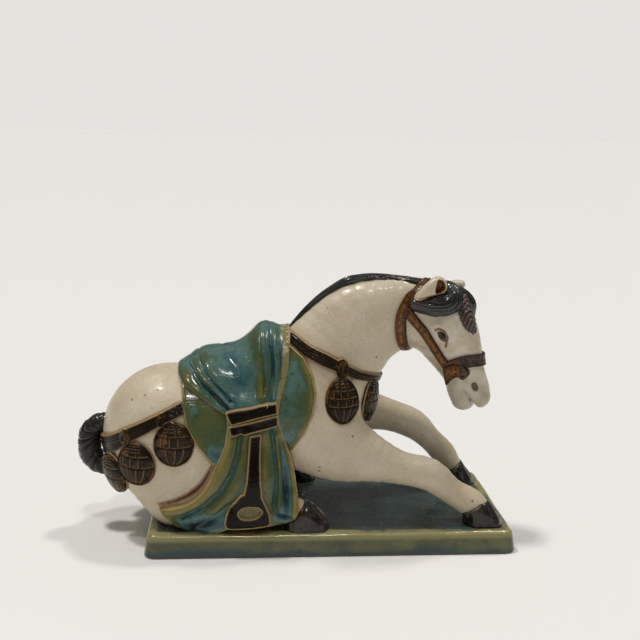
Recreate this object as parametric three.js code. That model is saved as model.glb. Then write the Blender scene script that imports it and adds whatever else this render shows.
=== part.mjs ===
// A glazed ceramic tomb horse, half lying with its forelegs stretched forward, on a flat oblong plinth.
// Millimetres, Z up. The head end is +X and the side seen first is -Y.
// The origin is under the plinth's centre.
import * as THREE from "three";
import { edgeTable, triTable } from "three/addons/objects/MarchingCubes.js";

// Sizes that drive the rest. Change one and the pieces it carries go with it.
const PLINTH_LENGTH = 270; // length of the plinth at its top edge
const PLINTH_DEPTH = 125; // depth of the plinth at its top edge
const PLINTH_HEIGHT = 17; // thickness of the plinth
const PLINTH_FLARE = 2.35; // how far the foot of the plinth stands out past its top edge
const PLINTH_ROLL = 3.5; // radius of the rolled upper edge
const CORNER_ROUND = 4; // radius of the plinth's corners in plan
const GLAZE_GAP = 0.3; // bed of glaze between the horse and the plinth

const HORSE_HEIGHT = 187; // from the soles to the tips of the ears
const HEAD_TURN = 30; // degrees the head is turned towards the side seen first
const CLOTH_THICK = 3; // saddle cloth over the coat
const FLAP_THICK = 2.4; // saddle flaps over the coat
const STRAP_THICK = 2.2; // straps over the coat
const BAND_THICK = 2.2; // tie bands and stirrup over the cloth
const PENDANT_PROUD = 5; // half thickness of the harness pendants

// The horse is drawn at one height and then brought to HORSE_HEIGHT, standing on its bed of glaze.
const DRAWN_HEIGHT = 187;
const DRAWN_SOLE = 17.3; // level of the soles in the drawing
const SCALE = HORSE_HEIGHT / DRAWN_HEIGHT;
const SOLE = PLINTH_HEIGHT + GLAZE_GAP;
const cloth = CLOTH_THICK / SCALE;
const flap = FLAP_THICK / SCALE;
const strap = STRAP_THICK / SCALE;
const band = BAND_THICK / SCALE;
const proud = PENDANT_PROUD / SCALE;

const GRID = 2.1; // spacing of the sampling grid the surface is taken from
const GRID_LOW = [-200, -70, 15.2];
const GRID_HIGH = [140, 70, 210];
const FACES = 9100; // facets kept on the horse

const WHITE = 0xe4ddcb;
const PLINTH_GREEN = 0x4a5d54;

// Distances and how they are joined.
const { abs, min, max, sqrt, exp, sin, cos, PI } = Math;
const span2 = (a, b) => sqrt(a * a + b * b);
const span3 = (a, b, c) => sqrt(a * a + b * b + c * c);
const clamp = (v, a, b) => max(a, min(b, v));
const far = 1000;

/** The lesser of two distances, with the crease between them filled to a radius of about k. */
function blend(a, b, k) {
  const h = max(k - abs(a - b), 0) / k;
  return min(a, b) - h * h * k * 0.25;
}

/** The greater of two distances, with the edge between them rounded to about k. */
const trim = (a, b, k) => -blend(-a, -b, k);

/** Points of a smooth curve through the given rows, `steps` to each span. */
function through(rows, steps) {
  const mix = (p, q, s) => p.map((v, i) => v * s + q[i] * (1 - s));
  const last = rows.length - 1;
  const all = [mix(rows[0], rows[1], 2), ...rows, mix(rows[last], rows[last - 1], 2)];
  const out = [];
  for (let i = 1; i <= last; i++) {
    const [a, b, c, d] = all.slice(i - 1, i + 3);
    for (let s = 0; s < steps; s++) {
      const t = s / steps;
      out.push(
        b.map(
          (v, j) =>
            0.5 *
            (2 * v +
              (c[j] - a[j]) * t +
              (2 * a[j] - 5 * v + 4 * c[j] - d[j]) * t * t +
              (3 * v - a[j] - 3 * c[j] + d[j]) * t * t * t),
        ),
      );
    }
  }
  out.push(rows[last]);
  return out;
}

/**
 * A limb of oval section along a curve. Each row is x, y, z, half depth, half width;
 * the width lies along `side`, the depth across it.
 */
function limb(rows, side = [0, 1, 0], steps = 3, reach = 36) {
  const st = through(rows, steps);
  const big = max(...st.map((r) => max(r[3], r[4]))) + reach;
  const lo = [0, 1, 2].map((i) => min(...st.map((r) => r[i])) - big);
  const hi = [0, 1, 2].map((i) => max(...st.map((r) => r[i])) + big);
  const seg = [];
  for (let i = 0; i + 1 < st.length; i++) {
    const [a, b] = [st[i], st[i + 1]];
    const e = [b[0] - a[0], b[1] - a[1], b[2] - a[2]];
    const l2 = e[0] * e[0] + e[1] * e[1] + e[2] * e[2];
    const along = (side[0] * e[0] + side[1] * e[1] + side[2] * e[2]) / l2;
    const s = side.map((v, j) => v - along * e[j]);
    const sl = span3(...s);
    seg.push([...a, ...e, l2, s[0] / sl, s[1] / sl, s[2] / sl, b[3] - a[3], b[4] - a[4]]);
  }
  return (x, y, z) => {
    if (x < lo[0] || x > hi[0] || y < lo[1] || y > hi[1] || z < lo[2] || z > hi[2]) return far;
    let best = far;
    for (const g of seg) {
      const px = x - g[0];
      const py = y - g[1];
      const pz = z - g[2];
      const t = clamp((px * g[5] + py * g[6] + pz * g[7]) / g[8], 0, 1);
      const qx = px - t * g[5];
      const qy = py - t * g[6];
      const qz = pz - t * g[7];
      const w = qx * g[9] + qy * g[10] + qz * g[11];
      const e2 = max(qx * qx + qy * qy + qz * qz - w * w, 0);
      const r1 = g[3] + t * g[12];
      const r2 = g[4] + t * g[13];
      const a2 = r1 * r1;
      const b2 = r2 * r2;
      const w2 = w * w;
      const k0 = sqrt(e2 / a2 + w2 / b2);
      const k1 = sqrt(e2 / (a2 * a2) + w2 / (b2 * b2)) + 1e-9;
      const d = (k0 * (k0 - 1)) / k1;
      if (d < best) best = d;
    }
    return best;
  };
}

/** An egg: centre, half width, half height, half thickness, and the way its face looks. */
function egg(c, wide, high, thick, face) {
  const n = new THREE.Vector3(...face).normalize();
  const up = new THREE.Vector3(0, 0, 1).addScaledVector(n, -n.z).normalize();
  const sd = new THREE.Vector3().crossVectors(up, n);
  return (x, y, z) => {
    const px = x - c[0];
    const py = y - c[1];
    const pz = z - c[2];
    const a = px * sd.x + py * sd.y + pz * sd.z;
    const b = px * up.x + py * up.y + pz * up.z;
    const d = px * n.x + py * n.y + pz * n.z;
    const k0 = span3(a / wide, b / high, d / thick);
    const k1 = span3(a / wide ** 2, b / high ** 2, d / thick ** 2) + 1e-9;
    return (k0 * (k0 - 1)) / k1;
  };
}

/** Signed distance in the side view to a closed outline of (x, z) corners, negative inside. */
function inside(u, v, outline) {
  let d = far * far;
  let s = 1;
  for (let i = 0, j = outline.length - 1; i < outline.length; j = i++) {
    const [ax, az] = outline[i];
    const ex = outline[j][0] - ax;
    const ez = outline[j][1] - az;
    const wx = u - ax;
    const wz = v - az;
    const t = clamp((wx * ex + wz * ez) / (ex * ex + ez * ez), 0, 1);
    d = min(d, (wx - ex * t) ** 2 + (wz - ez * t) ** 2);
    const c1 = v >= az;
    const c2 = v < outline[j][1];
    const c3 = ex * wz > ez * wx;
    if ((c1 && c2 && c3) || (!c1 && !c2 && !c3)) s = -s;
  }
  return s * sqrt(d);
}

/** Distance in the side view to a bent line of (x, z, half width) points, less the half width. */
function ribbon(u, v, line) {
  let d = far;
  for (let i = 0; i + 1 < line.length; i++) {
    const [ax, az, aw] = line[i];
    const [bx, bz, bw] = line[i + 1];
    const ex = bx - ax;
    const ez = bz - az;
    const t = clamp(((u - ax) * ex + (v - az) * ez) / (ex * ex + ez * ez), 0, 1);
    d = min(d, span2(u - ax - t * ex, v - az - t * ez) - (aw + t * (bw - aw)));
  }
  return d;
}

/** A value read off a list of (level, value) pairs, straight between them. */
function read(list, v) {
  if (v <= list[0][0]) return list[0][1];
  for (let i = 1; i < list.length; i++) {
    if (v <= list[i][0]) {
      const t = (v - list[i - 1][0]) / (list[i][0] - list[i - 1][0]);
      return list[i - 1][1] + t * (list[i][1] - list[i - 1][1]);
    }
  }
  return list[list.length - 1][1];
}

// The head's own directions: forward, to its far side, and up.
const turn = (HEAD_TURN * PI) / 180;
const HEAD_AT = [76, -8]; // pivot of the turn in plan
const headX = (f, s) => HEAD_AT[0] + f * cos(turn) + s * sin(turn);
const headY = (f, s) => HEAD_AT[1] - f * sin(turn) + s * cos(turn);
const HEAD_SIDE = [sin(turn), cos(turn), 0];
const onHead = (rows) => rows.map(([f, s, z, a, b]) => [headX(f, s), headY(f, s), z, a, b]);

// The bare horse.
const trunk = limb([
  [-121, 0, 77, 51.5, 44],
  [-90, 0, 80, 50, 44],
  [-55, 0, 90, 46, 43],
  [-22, 0, 95, 42, 42],
  [0, 0, 105, 35.5, 36],
]);
const neck = limb([
  [-12, 0, 119, 41, 32],
  [6, 0, 141.2, 37.4, 27],
  [22, -1, 158.5, 34.5, 22],
  [45, -2, 168.5, 29, 18.5],
  [64, -4, 169.5, 25.5, 16.5],
]);
const skull = limb(
  onHead([
    [-1.4, 0.4, 171, 23, 15.5],
    [10.3, 0.2, 159.5, 25.5, 16],
    [19, 0, 146, 21.5, 13.5],
    [26, 0, 132, 17, 11.2],
    [31.8, -0.1, 119, 15.2, 10.8],
    [33, -0.1, 115, 12, 9.6],
  ]),
  HEAD_SIDE,
);
const chin = limb(onHead([[24, -0.5, 114, 7, 7], [28.5, -1.5, 108.5, 9, 8.5]]), HEAD_SIDE);
const lip = limb(onHead([[37, -0.5, 116, 10, 9], [40.5, -1, 111.5, 8.8, 8.6]]), HEAD_SIDE);
const nearFore = limb([
  [-2, -24, 92, 28, 16],
  [6, -29, 66, 19, 15],
  [30, -33, 63, 16.5, 13.5],
  [52, -36, 57.5, 12, 11],
  [74, -38.5, 53, 12.2, 11],
  [90, -41, 41, 9.8, 9],
  [105, -43, 32.5, 10.8, 10],
  [112, -44, 26, 9.5, 9.5],
]);
const farFore = limb([
  [10, 22, 98, 28, 16],
  [32, 28, 84, 17, 14],
  [54, 31, 77.5, 13, 12],
  [74, 34, 69, 12.3, 11.5],
  [88.5, 35.5, 56, 9.8, 9],
  [100.5, 37.5, 43.5, 10.3, 10],
  [108, 39, 33, 9, 9],
]);
const nearHoof = limb([
  [112.5, -44, 29.5, 9.4, 9.6],
  [117, -43.5, 21, 12, 11],
  [118.5, -43, 14, 13.5, 12],
]);
const farHoof = limb([
  [107.5, 39.3, 32, 9, 9.4],
  [113.5, 40, 23, 11, 10.5],
  [116, 40.5, 14, 13, 11.5],
]);
// Hind legs, given for one side and mirrored.
const thigh = limb([
  [-118, 28, 78, 37, 18],
  [-92, 34, 62, 30, 17],
  [-62, 38, 50, 24, 16],
]);
const buttock = limb([
  [-130, 20, 64, 33, 22],
  [-121, 28, 44, 25, 20],
  [-114, 32, 32, 19, 16],
]);
const shank = limb([
  [-62, 40, 46, 18, 14],
  [-98, 41, 38, 14, 12],
  [-118, 36, 30, 13, 12],
]);
const cannon = limb([
  [-117, 36, 28, 12, 11],
  [-90, 44, 26, 9, 9],
  [-52, 46, 28, 9.5, 9],
  [-37, 47.5, 35, 10.5, 9.5],
  [-26, 49, 34, 10, 9.5],
]);
// The closed underside of the barrel between the folded hind legs.
const underside = limb([
  [-124, 0, 34, 22, 38],
  [-92, 0, 36, 22, 40],
  [-62, 0, 40, 22, 40],
]);
const hindHoof = limb([
  [-24, 49.5, 31, 9.5, 10],
  [-17.5, 49.5, 22, 12, 11],
  [-14, 49.5, 13, 14, 12],
]);

const tail = limb([
  [-166, 0, 93, 5, 6],
  [-175, 0, 87.5, 6.5, 7.5],
  [-181, 0, 78, 8.2, 8.8],
  [-182, 0, 66, 9, 9.4],
  [-179.5, 0, 55, 8.4, 8.8],
  [-172, 0, 46.5, 6.5, 7.5],
  [-163, 0, 44, 4.5, 6],
]);
const TAIL_AT = [-160, 67]; // centre that the ribs across the tail fan out from
const TAIL_RIBS = 26; // ribs to a full turn
const TAIL_RIB_HIGH = 0.8;

const mane = limb([
  [-30, 0, 153.5, 3.5, 4],
  [-21.5, 0, 165.5, 3.7, 4.2],
  [-10, 0, 176.6, 3.7, 4.4],
  [1, 0, 186.2, 3.7, 4.4],
  [10, -0.5, 192.6, 3.7, 4.4],
  [24, -1, 196.4, 3.7, 4.4],
  [41, -2, 196.4, 3.7, 4.4],
  [58, -4, 194.2, 3.9, 4.8],
  [71, -7, 193.5, 4.5, 6],
]);
const forelock = limb(
  onHead([
    [4, 2, 193, 6, 8],
    [14, -1, 192, 7, 9],
    [18.5, -6, 186, 7.5, 7.5],
    [16, -10.5, 181.5, 8, 6],
    [8, -14.5, 179.5, 7.5, 5],
    [0, -17.5, 179.8, 5.5, 4],
    [-7.5, -18.5, 181.2, 3, 3],
  ]),
  HEAD_SIDE,
);
const farLock = limb(
  onHead([
    [14, 4, 191, 6, 7],
    [23, 7, 187.5, 5.5, 6],
    [29.5, 8, 181, 4.5, 5],
    [31, 8, 173, 3, 4],
  ]),
  HEAD_SIDE,
);
const tassel = limb(
  onHead([
    [22, 1, 184, 3, 4],
    [27.5, -1, 176, 4, 5.5],
    [31.5, -2, 168, 4, 5.5],
    [35.5, -2.2, 160.5, 2.5, 3],
  ]),
  HEAD_SIDE,
);
const nearEar = limb(
  onHead([
    [-5, -13.5, 187, 5, 4.5],
    [2, -14, 192.5, 7, 5],
    [8, -13.5, 197, 7, 5],
    [12, -13, 199.5, 4, 3.6],
  ]),
  HEAD_SIDE,
);
const nearEarHollow = limb(
  onHead([
    [4, -18, 193, 2, 2],
    [9, -18, 196, 3.6, 3.6],
    [13, -17.5, 198, 3, 3],
  ]),
  HEAD_SIDE,
);
const farEar = limb(
  onHead([
    [3, 12, 188, 5, 4.5],
    [10, 13, 192, 6, 5],
    [17, 13, 194.5, 4, 4],
  ]),
  HEAD_SIDE,
);
const nearEye = limb(
  onHead([
    [12.4, -12.2, 159.5, 3.2, 3.6],
    [15.6, -12, 156, 2.8, 3.4],
  ]),
  HEAD_SIDE,
);
const farEye = limb(
  onHead([
    [12.4, 12.4, 159.5, 3.2, 3.6],
    [15.6, 12.2, 156, 2.8, 3.4],
  ]),
  HEAD_SIDE,
);
const nearBrow = limb(
  onHead([
    [7, -13.4, 163.5, 1.8, 2.2],
    [12.5, -13.2, 165, 2.2, 2.4],
    [18.5, -11.5, 161, 1.6, 2],
  ]),
  HEAD_SIDE,
);
const nearNostril = limb(
  onHead([
    [40, -8.6, 122, 2.6, 2.4],
    [41.4, -8.2, 118.5, 2.4, 2.4],
  ]),
  HEAD_SIDE,
);
const farNostril = limb(
  onHead([
    [40, 8.2, 122, 2.6, 2.4],
    [41.4, 7.8, 118.5, 2.4, 2.4],
  ]),
  HEAD_SIDE,
);

function bare(x, y, z) {
  const m = abs(y);
  let d = trunk(x, y, z);
  d = blend(d, thigh(x, m, z), 12);
  d = blend(d, buttock(x, m, z), 10);
  d = blend(d, shank(x, m, z), 8);
  d = blend(d, cannon(x, m, z), 5);
  d = blend(d, underside(x, y, z), 8);
  d = blend(d, neck(x, y, z), 14);
  d = blend(d, nearFore(x, y, z), 9);
  d = blend(d, farFore(x, y, z), 9);
  let h = skull(x, y, z);
  h = blend(h, blend(chin(x, y, z), lip(x, y, z), 1), 5);
  return blend(d, h, 7);
}

// Saddle cloth.
const saddle = limb([
  [-98, 0, 112, 20.5, 34],
  [-82, 0, 117, 24, 36],
  [-66, 0, 119, 25.5, 36],
  [-55, 0, 123.5, 28, 34],
  [-46, 0, 129, 30, 32],
  [-38, 0, 128, 28, 30],
]);
// How far the hanging cloth stands out from the middle plane, by level.
const DRAPE_OUT = [
  [17, 62.2], [20, 61.6], [35, 57.8], [50, 54.5], [66, 52], [80, 49.5], [97, 46.5], [104, 45],
  [125, 40],
];
// Its rear and front borders, by level.
const DRAPE_REAR = [
  [17, -100], [33, -126], [47, -104], [67, -88], [87, -77], [104, -76], [125, -85],
];
const DRAPE_FRONT = [
  [17, -34], [28, -30], [34, -26], [48, -26], [66, -29], [78, -32], [91, -40], [125, -42],
];
function drape(x, y, z) {
  const rear = read(DRAPE_REAR, z);
  const front = read(DRAPE_FRONT, z);
  const across = (x - (rear + front) / 2) / ((front - rear) / 2);
  const drop = read([[17, 7], [60, 5], [104, 3]], z);
  return (abs(y) - (read(DRAPE_OUT, z) - drop * across * across)) * 0.93;
}
// Folds of the cloth as lines in the side view: height of the fold, its width, then its course.
const FOLDS = [
  [1.9, 4.5, [-75, 86], [-76, 77], [-80, 64], [-88, 51], [-101, 40.5], [-118, 32]],
  [-2.6, 2.6, [-68, 90], [-70.4, 71.4], [-74.6, 58.4], [-82.5, 45.3], [-94, 36.8], [-108, 29]],
  [1.5, 3.5, [-65, 90], [-67.5, 68.6], [-71, 55.6], [-78.2, 44.1], [-88, 34]],
  [-1.7, 2.6, [-76, 38], [-89.6, 26.9], [-102, 20]],
  [1.2, 2.6, [-50.9, 90], [-50.1, 62.7], [-47.7, 41.9], [-44, 30]],
  [-2.2, 2, [-45.6, 93], [-43.2, 68.2], [-42.2, 47.4], [-41, 28]],
  [1.2, 2.4, [-41, 88], [-38.4, 67.8], [-36.7, 45]],
  [-2, 3, [-37, 84], [-34.7, 70.3], [-32.6, 52.4], [-32, 28]],
  [1.6, 2.6, [-33, 78], [-28, 60.8], [-26.8, 45.9], [-28, 28]],
  [2.2, 3.4, [-113, 150], [-112.5, 129], [-109, 122], [-101.5, 115.6], [-91, 109.2], [-79, 104]],
  [-2, 2, [-108, 150], [-108, 130], [-102.5, 121.6], [-91.6, 113.1], [-78, 105.7]],
  [1.9, 2.4, [-104.5, 150], [-104.6, 133], [-99, 125.4], [-88.6, 117], [-76, 108.4]],
  [-1.8, 2, [-101, 152], [-101.6, 135], [-96.8, 128.6], [-87.2, 120.6], [-75, 109.8]],
  [1.6, 2.8, [-97, 154], [-97.6, 137], [-93.6, 131.6], [-85.4, 125.2], [-76, 116]],
  [-1.8, 3.6, [-62, 170], [-59.2, 141.4], [-56.2, 130], [-54, 116], [-53.3, 108]],
  [2.4, 4, [-49.5, 180], [-49, 158], [-48, 148], [-47.4, 138], [-48.4, 125], [-50, 114]],
  [-2.2, 2, [-41, 180], [-40.2, 158], [-39.6, 146], [-41, 132.6], [-45, 119], [-47, 111]],
  [1.6, 2, [-36.8, 180], [-36.6, 158], [-36.2, 146], [-37.6, 132.6], [-40.6, 121], [-42, 112]],
].map(([high, wide, ...line]) => ({
  high,
  wide,
  line: line.map(([x, z]) => [x, z, 0]),
  from: [0, 1].map((i) => min(...line.map((p) => p[i])) - 2.5 * wide),
  to: [0, 1].map((i) => max(...line.map((p) => p[i])) + 2.5 * wide),
}));
function folds(x, z) {
  let sum = 0;
  for (const f of FOLDS) {
    if (x < f.from[0] || x > f.to[0] || z < f.from[1] || z > f.to[1]) continue;
    const d = ribbon(x, z, f.line) / f.wide;
    if (d < 2.5) sum += f.high * exp(-d * d);
  }
  const crest = read([[-116, 134], [-98, 142], [-66, 146], [-50, 157], [-30, 157]], x);
  return sum * clamp(1 - (z - crest + 14) / 22, 0.25, 1);
}
const CLOTH_OVER_SEAT = [
  [-79, 102], [-90, 108], [-100.3, 115.2], [-109.9, 120.4], [-114.6, 125.5], [-116.5, 131],
  [-117, 150], [-104, 185],
  [-30, 185], [-31, 157], [-32, 146], [-33.3, 132.7], [-36.5, 119.2], [-39.5, 110], [-41, 100],
  [-58, 94], [-77, 91],
];
const CLOTH_HANGING = [
  [-76, 104], [-41.5, 112], [-39.8, 96], [-36.3, 84.6], [-31, 71.4], [-27.9, 57.9],
  [-25.8, 44.4], [-25.4, 32.4], [-28, 27],
  [-34.2, 23], [-46, 21.4], [-60.7, 20.5], [-77, 20], [-84, 16.9], [-95, 10], [-104, 10],
  [-114, 19], [-124.6, 29], [-126, 34],
  [-111.5, 41], [-98.5, 51], [-89, 63], [-80, 77],
];
function clothBase(x, y, z, coat) {
  const hang = trim(trim(drape(x, y, z), 34 - abs(y), 4), z - 112, 10);
  const over = blend(saddle(x, y, z), coat - cloth, 6);
  return blend(over, hang, 7) - folds(x, z);
}

// Saddle flaps, tie bands, stirrup leather and stirrup, as outlines in the side view.
const FLAP = [
  [-111, 128], [-110.8, 119], [-110, 108.5], [-106.9, 94], [-99.7, 81.3], [-89.7, 69], [-72, 60],
  [-45, 62], [-30.3, 74.3],
  [-21.7, 87.6], [-15.4, 102.7], [-13.5, 116.8], [-16.1, 130.4], [-21.8, 141], [-31.2, 148.5],
  [-34, 170], [-110, 170],
];
const BAND_UPPER = [
  [-77.8, 103.6], [-61, 107.7], [-41.7, 111.3], [-41, 103.8], [-58.3, 99.2], [-75.5, 95.6],
];
const BAND_LOWER = [
  [-76, 92.8], [-58.3, 97.6], [-41.7, 101.2], [-41, 94.6], [-58.2, 90.2], [-75.4, 86.6],
];
const LEATHER = [[-57, 92, 3], [-57.6, 68.7, 3.6], [-59, 42, 4.6]];
const STIRRUP = [
  [-77, 21], [-76, 30], [-71, 38.5], [-64, 44.4], [-54.3, 44], [-47.6, 36], [-46, 27.6],
  [-47.5, 21],
];
const STIRRUP_SLOT = [
  [-69, 28.6], [-67, 33.4], [-62, 35.4], [-54.2, 34.5], [-50.8, 30.4], [-53.4, 27], [-60.7, 26.4],
];

// Crupper and breast strap with their keepers, and the five pendants of one side.
const CRUPPER = [
  [-105, 107, 4.4], [-111.6, 104.4, 4.5], [-125.8, 98.3, 4.6], [-139, 91.6, 4.8],
  [-154, 82, 5.4], [-178, 64, 7.5],
];
const BREAST = [
  [-30, 153, 4], [-19.5, 145.5, 4.5], [-6, 139.5, 4.7], [6, 134, 4], [19, 127.5, 3.4],
  [39, 120.5, 3],
];
const CRUPPER_KEEPERS = [[-121, 100.6], [-147.5, 86.6]];
const BREAST_KEEPER = [7, 133];
const PENDANTS = [
  egg([-116.2, -47.6, 79.6], 15.4, 18.6, proud, [-0.1, -1, 0.06]),
  egg([-143.8, -43, 62.8], 15.4, 18.8, proud, [-0.4, -0.92, -0.05]),
  egg([-161.8, -26, 50], 13.5, 18, proud, [-0.82, -0.5, -0.3]),
  egg([7.2, -37, 109], 14.2, 18.6, proud, [0.22, -0.95, 0.2]),
  egg([32.6, -14.5, 103.5], 12, 17.5, proud, [0.92, -0.36, -0.12]),
];
// The same five on the other side.
const pendants = (x, y, z) => min(...PENDANTS.map((p) => p(x, -abs(y), z)));

// Bridle, in the head's own side view: forward, level, half width.
const CHEEK_STRAP = [
  [-10.2, 176, 3.4], [-5.4, 165.4, 3.5], [1, 156, 3.6], [6.8, 147.8, 3.6], [12.7, 140.6, 3.6],
  [18.5, 134, 3.8],
];
const NOSE_STRAP = [[18.5, 134.5, 3.4], [30, 137.6, 3.8], [36.5, 139.4, 4], [46, 139, 4]];
const THROAT_STRAP = [
  [-6, 198, 3.2], [-7.4, 194, 3.4], [-12, 187.2, 3.6], [-14.8, 178.3, 3.8], [-16, 169, 4],
  [-16.4, 159, 3.8], [-15.6, 146, 3.4], [-14, 138, 3],
];
const BIT_CHEEK = [
  [16.5, 121], [18.8, 130], [24, 135.5], [31, 135.4], [35.6, 131], [34.6, 127.6], [30.6, 127.8],
  [28, 124.4], [24, 126], [20, 122],
];
const MOUTH = [[38, 103, 0.6], [35, 107, 0.5], [31, 113, 0.4], [28.5, 118, 0.2]];

function harness(x, y, z, coat) {
  let d = trim(coat - strap, ribbon(x, z, CRUPPER), 1);
  d = min(d, trim(coat - strap, ribbon(x, z, BREAST), 1));
  for (const [kx, kz] of CRUPPER_KEEPERS) {
    d = min(d, trim(coat - strap - 1, span2((x - kx) / 0.75, z - kz) - 6.4, 1));
  }
  d = min(d, trim(coat - strap - 1, span2(x - BREAST_KEEPER[0], z - BREAST_KEEPER[1]) - 6, 1));
  return blend(d, pendants(x, y, z), 1);
}
function bridle(x, y, z, coat) {
  const px = x - HEAD_AT[0];
  const py = y - HEAD_AT[1];
  const f = px * cos(turn) - py * sin(turn);
  let d = trim(coat - strap, ribbon(f, z, CHEEK_STRAP), 1);
  d = min(d, trim(coat - strap, ribbon(f, z, NOSE_STRAP), 1));
  d = min(d, trim(coat - strap, ribbon(f, z, THROAT_STRAP), 1));
  return min(d, trim(coat - strap - 1.2, inside(f, z, BIT_CHEEK), 1.2));
}

// The whole horse as one distance.
function horseField(x, y, z) {
  const coat = bare(x, y, z);
  if (coat > 34) return coat - 12;
  if (coat < -14) return coat;
  const m = abs(y);
  let d = coat;
  if (x > 30 && z > 90) {
    const f = (x - HEAD_AT[0]) * cos(turn) - (y - HEAD_AT[1]) * sin(turn);
    d = blend(d, nearBrow(x, y, z), 3);
    d = min(d, nearEye(x, y, z), farEye(x, y, z));
    d = trim(d, -min(nearNostril(x, y, z), farNostril(x, y, z)), 1.2);
    if (z < 122) d = trim(d, -trim(ribbon(f, z, MOUTH), -coat - 3, 1), 1);
    d = min(d, bridle(x, y, z, coat));
    let e = blend(nearEar(x, y, z), d, 3);
    e = trim(e, -nearEarHollow(x, y, z), 1);
    d = blend(e, farEar(x, y, z), 2);
    d = blend(d, forelock(x, y, z), 1.5);
    d = blend(d, farLock(x, y, z), 1.5);
    d = blend(d, tassel(x, y, z), 1);
  }
  if (z > 130) d = blend(d, mane(x, y, z), 1.5);
  if (x < -4 && x > -135) {
    const base = clothBase(x, y, z, coat);
    const seat = trim(base, inside(x, z, CLOTH_OVER_SEAT), 2);
    const hang = trim(base, inside(x, z, CLOTH_HANGING), 2);
    d = min(d, seat, hang);
    d = min(d, trim(coat - flap, inside(x, z, FLAP), 1.5));
    const bands = min(inside(x, z, BAND_UPPER), inside(x, z, BAND_LOWER));
    d = min(d, trim(base - band, bands, 1));
    const iron = trim(inside(x, z, STIRRUP), -inside(x, z, STIRRUP_SLOT), 0.5);
    d = min(d, trim(base - band, min(ribbon(x, z, LEATHER), iron), 1));
  }
  if (x < -90 || x > -40) d = min(d, harness(x, y, z, coat));
  if (x < -150) {
    const angle = Math.atan2(z - TAIL_AT[1], x - TAIL_AT[0]);
    d = blend(d, tail(x, y, z) + TAIL_RIB_HIGH * cos(angle * TAIL_RIBS), 2);
  }
  if (z < 50) {
    d = blend(d, nearHoof(x, y, z), 1.5);
    d = blend(d, farHoof(x, y, z), 1.5);
    d = blend(d, hindHoof(x, m, z), 1.5);
  }
  return max(d, DRAWN_SOLE - z);
}

// Surface of a field.
const CORNER = [
  [0, 0, 0], [1, 0, 0], [1, 1, 0], [0, 1, 0], [0, 0, 1], [1, 0, 1], [1, 1, 1], [0, 1, 1],
];
const EDGE = [
  [0, 1], [1, 2], [2, 3], [3, 0], [4, 5], [5, 6], [6, 7], [7, 4], [0, 4], [1, 5], [2, 6], [3, 7],
];

/** Closed triangles of the zero surface of `field` in the box, sampled only in blocks near it. */
function surfaceOf(field, lo, hi, h) {
  const B = 5;
  const n = [0, 1, 2].map((i) => Math.ceil((hi[i] - lo[i]) / (h * B)));
  const N = n.map((v) => v * B + 1);
  const grid = new Float32Array(N[0] * N[1] * N[2]).fill(NaN);
  const key = (i, j, k) => (i * N[1] + j) * N[2] + k;
  const value = (i, j, k) => {
    const q = key(i, j, k);
    if (Number.isNaN(grid[q])) {
      grid[q] = field(lo[0] + i * h, lo[1] + j * h, lo[2] + k * h) || 1e-4;
    }
    return grid[q];
  };
  const points = [];
  const index = new Map();
  const faces = [];
  const c = new Array(8);
  for (let bi = 0; bi < n[0]; bi++) {
    for (let bj = 0; bj < n[1]; bj++) {
      for (let bk = 0; bk < n[2]; bk++) {
        const mid = field(...[bi, bj, bk].map((b, a) => lo[a] + (b + 0.5) * B * h));
        if (abs(mid) > B * h * 0.87 + 7) continue;
        for (let q = 0; q < B ** 3; q++) {
          const i = bi * B + (q % B);
          const j = bj * B + (Math.floor(q / B) % B);
          const k = bk * B + Math.floor(q / (B * B));
          let code = 0;
          for (let s = 0; s < 8; s++) {
            const o = CORNER[s];
            c[s] = value(i + o[0], j + o[1], k + o[2]);
            if (c[s] < 0) code |= 1 << s;
          }
          if (edgeTable[code] === 0) continue;
          const at = [];
          for (let e = 0; e < 12; e++) {
            if (!(edgeTable[code] & (1 << e))) continue;
            const [a, b] = EDGE[e];
            const A = CORNER[a];
            const C = CORNER[b];
            const base = key(i + min(A[0], C[0]), j + min(A[1], C[1]), k + min(A[2], C[2]));
            const axis = A[0] !== C[0] ? 0 : A[1] !== C[1] ? 1 : 2;
            const name = base * 3 + axis;
            let v = index.get(name);
            if (v === undefined) {
              const t = clamp(c[a] / (c[a] - c[b]), 0.04, 0.96);
              v = points.length;
              points.push([
                lo[0] + (i + A[0] + t * (C[0] - A[0])) * h,
                lo[1] + (j + A[1] + t * (C[1] - A[1])) * h,
                lo[2] + (k + A[2] + t * (C[2] - A[2])) * h,
              ]);
              index.set(name, v);
            }
            at[e] = v;
          }
          for (let t = code * 16; triTable[t] !== -1; t += 3) {
            faces.push([at[triTable[t]], at[triTable[t + 2]], at[triTable[t + 1]]]);
          }
        }
      }
    }
  }
  return { points, faces };
}

/** Keeps the largest connected body of a mesh. */
function largest({ points, faces }) {
  const root = points.map((_, i) => i);
  const find = (i) => {
    while (root[i] !== i) {
      root[i] = root[root[i]];
      i = root[i];
    }
    return i;
  };
  for (const [a, b, c] of faces) {
    root[find(b)] = find(a);
    root[find(c)] = find(a);
  }
  const count = new Map();
  for (const f of faces) count.set(find(f[0]), (count.get(find(f[0])) ?? 0) + 1);
  const best = [...count.entries()].sort((a, b) => b[1] - a[1])[0][0];
  return { points, faces: faces.filter((f) => find(f[0]) === best) };
}

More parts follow.
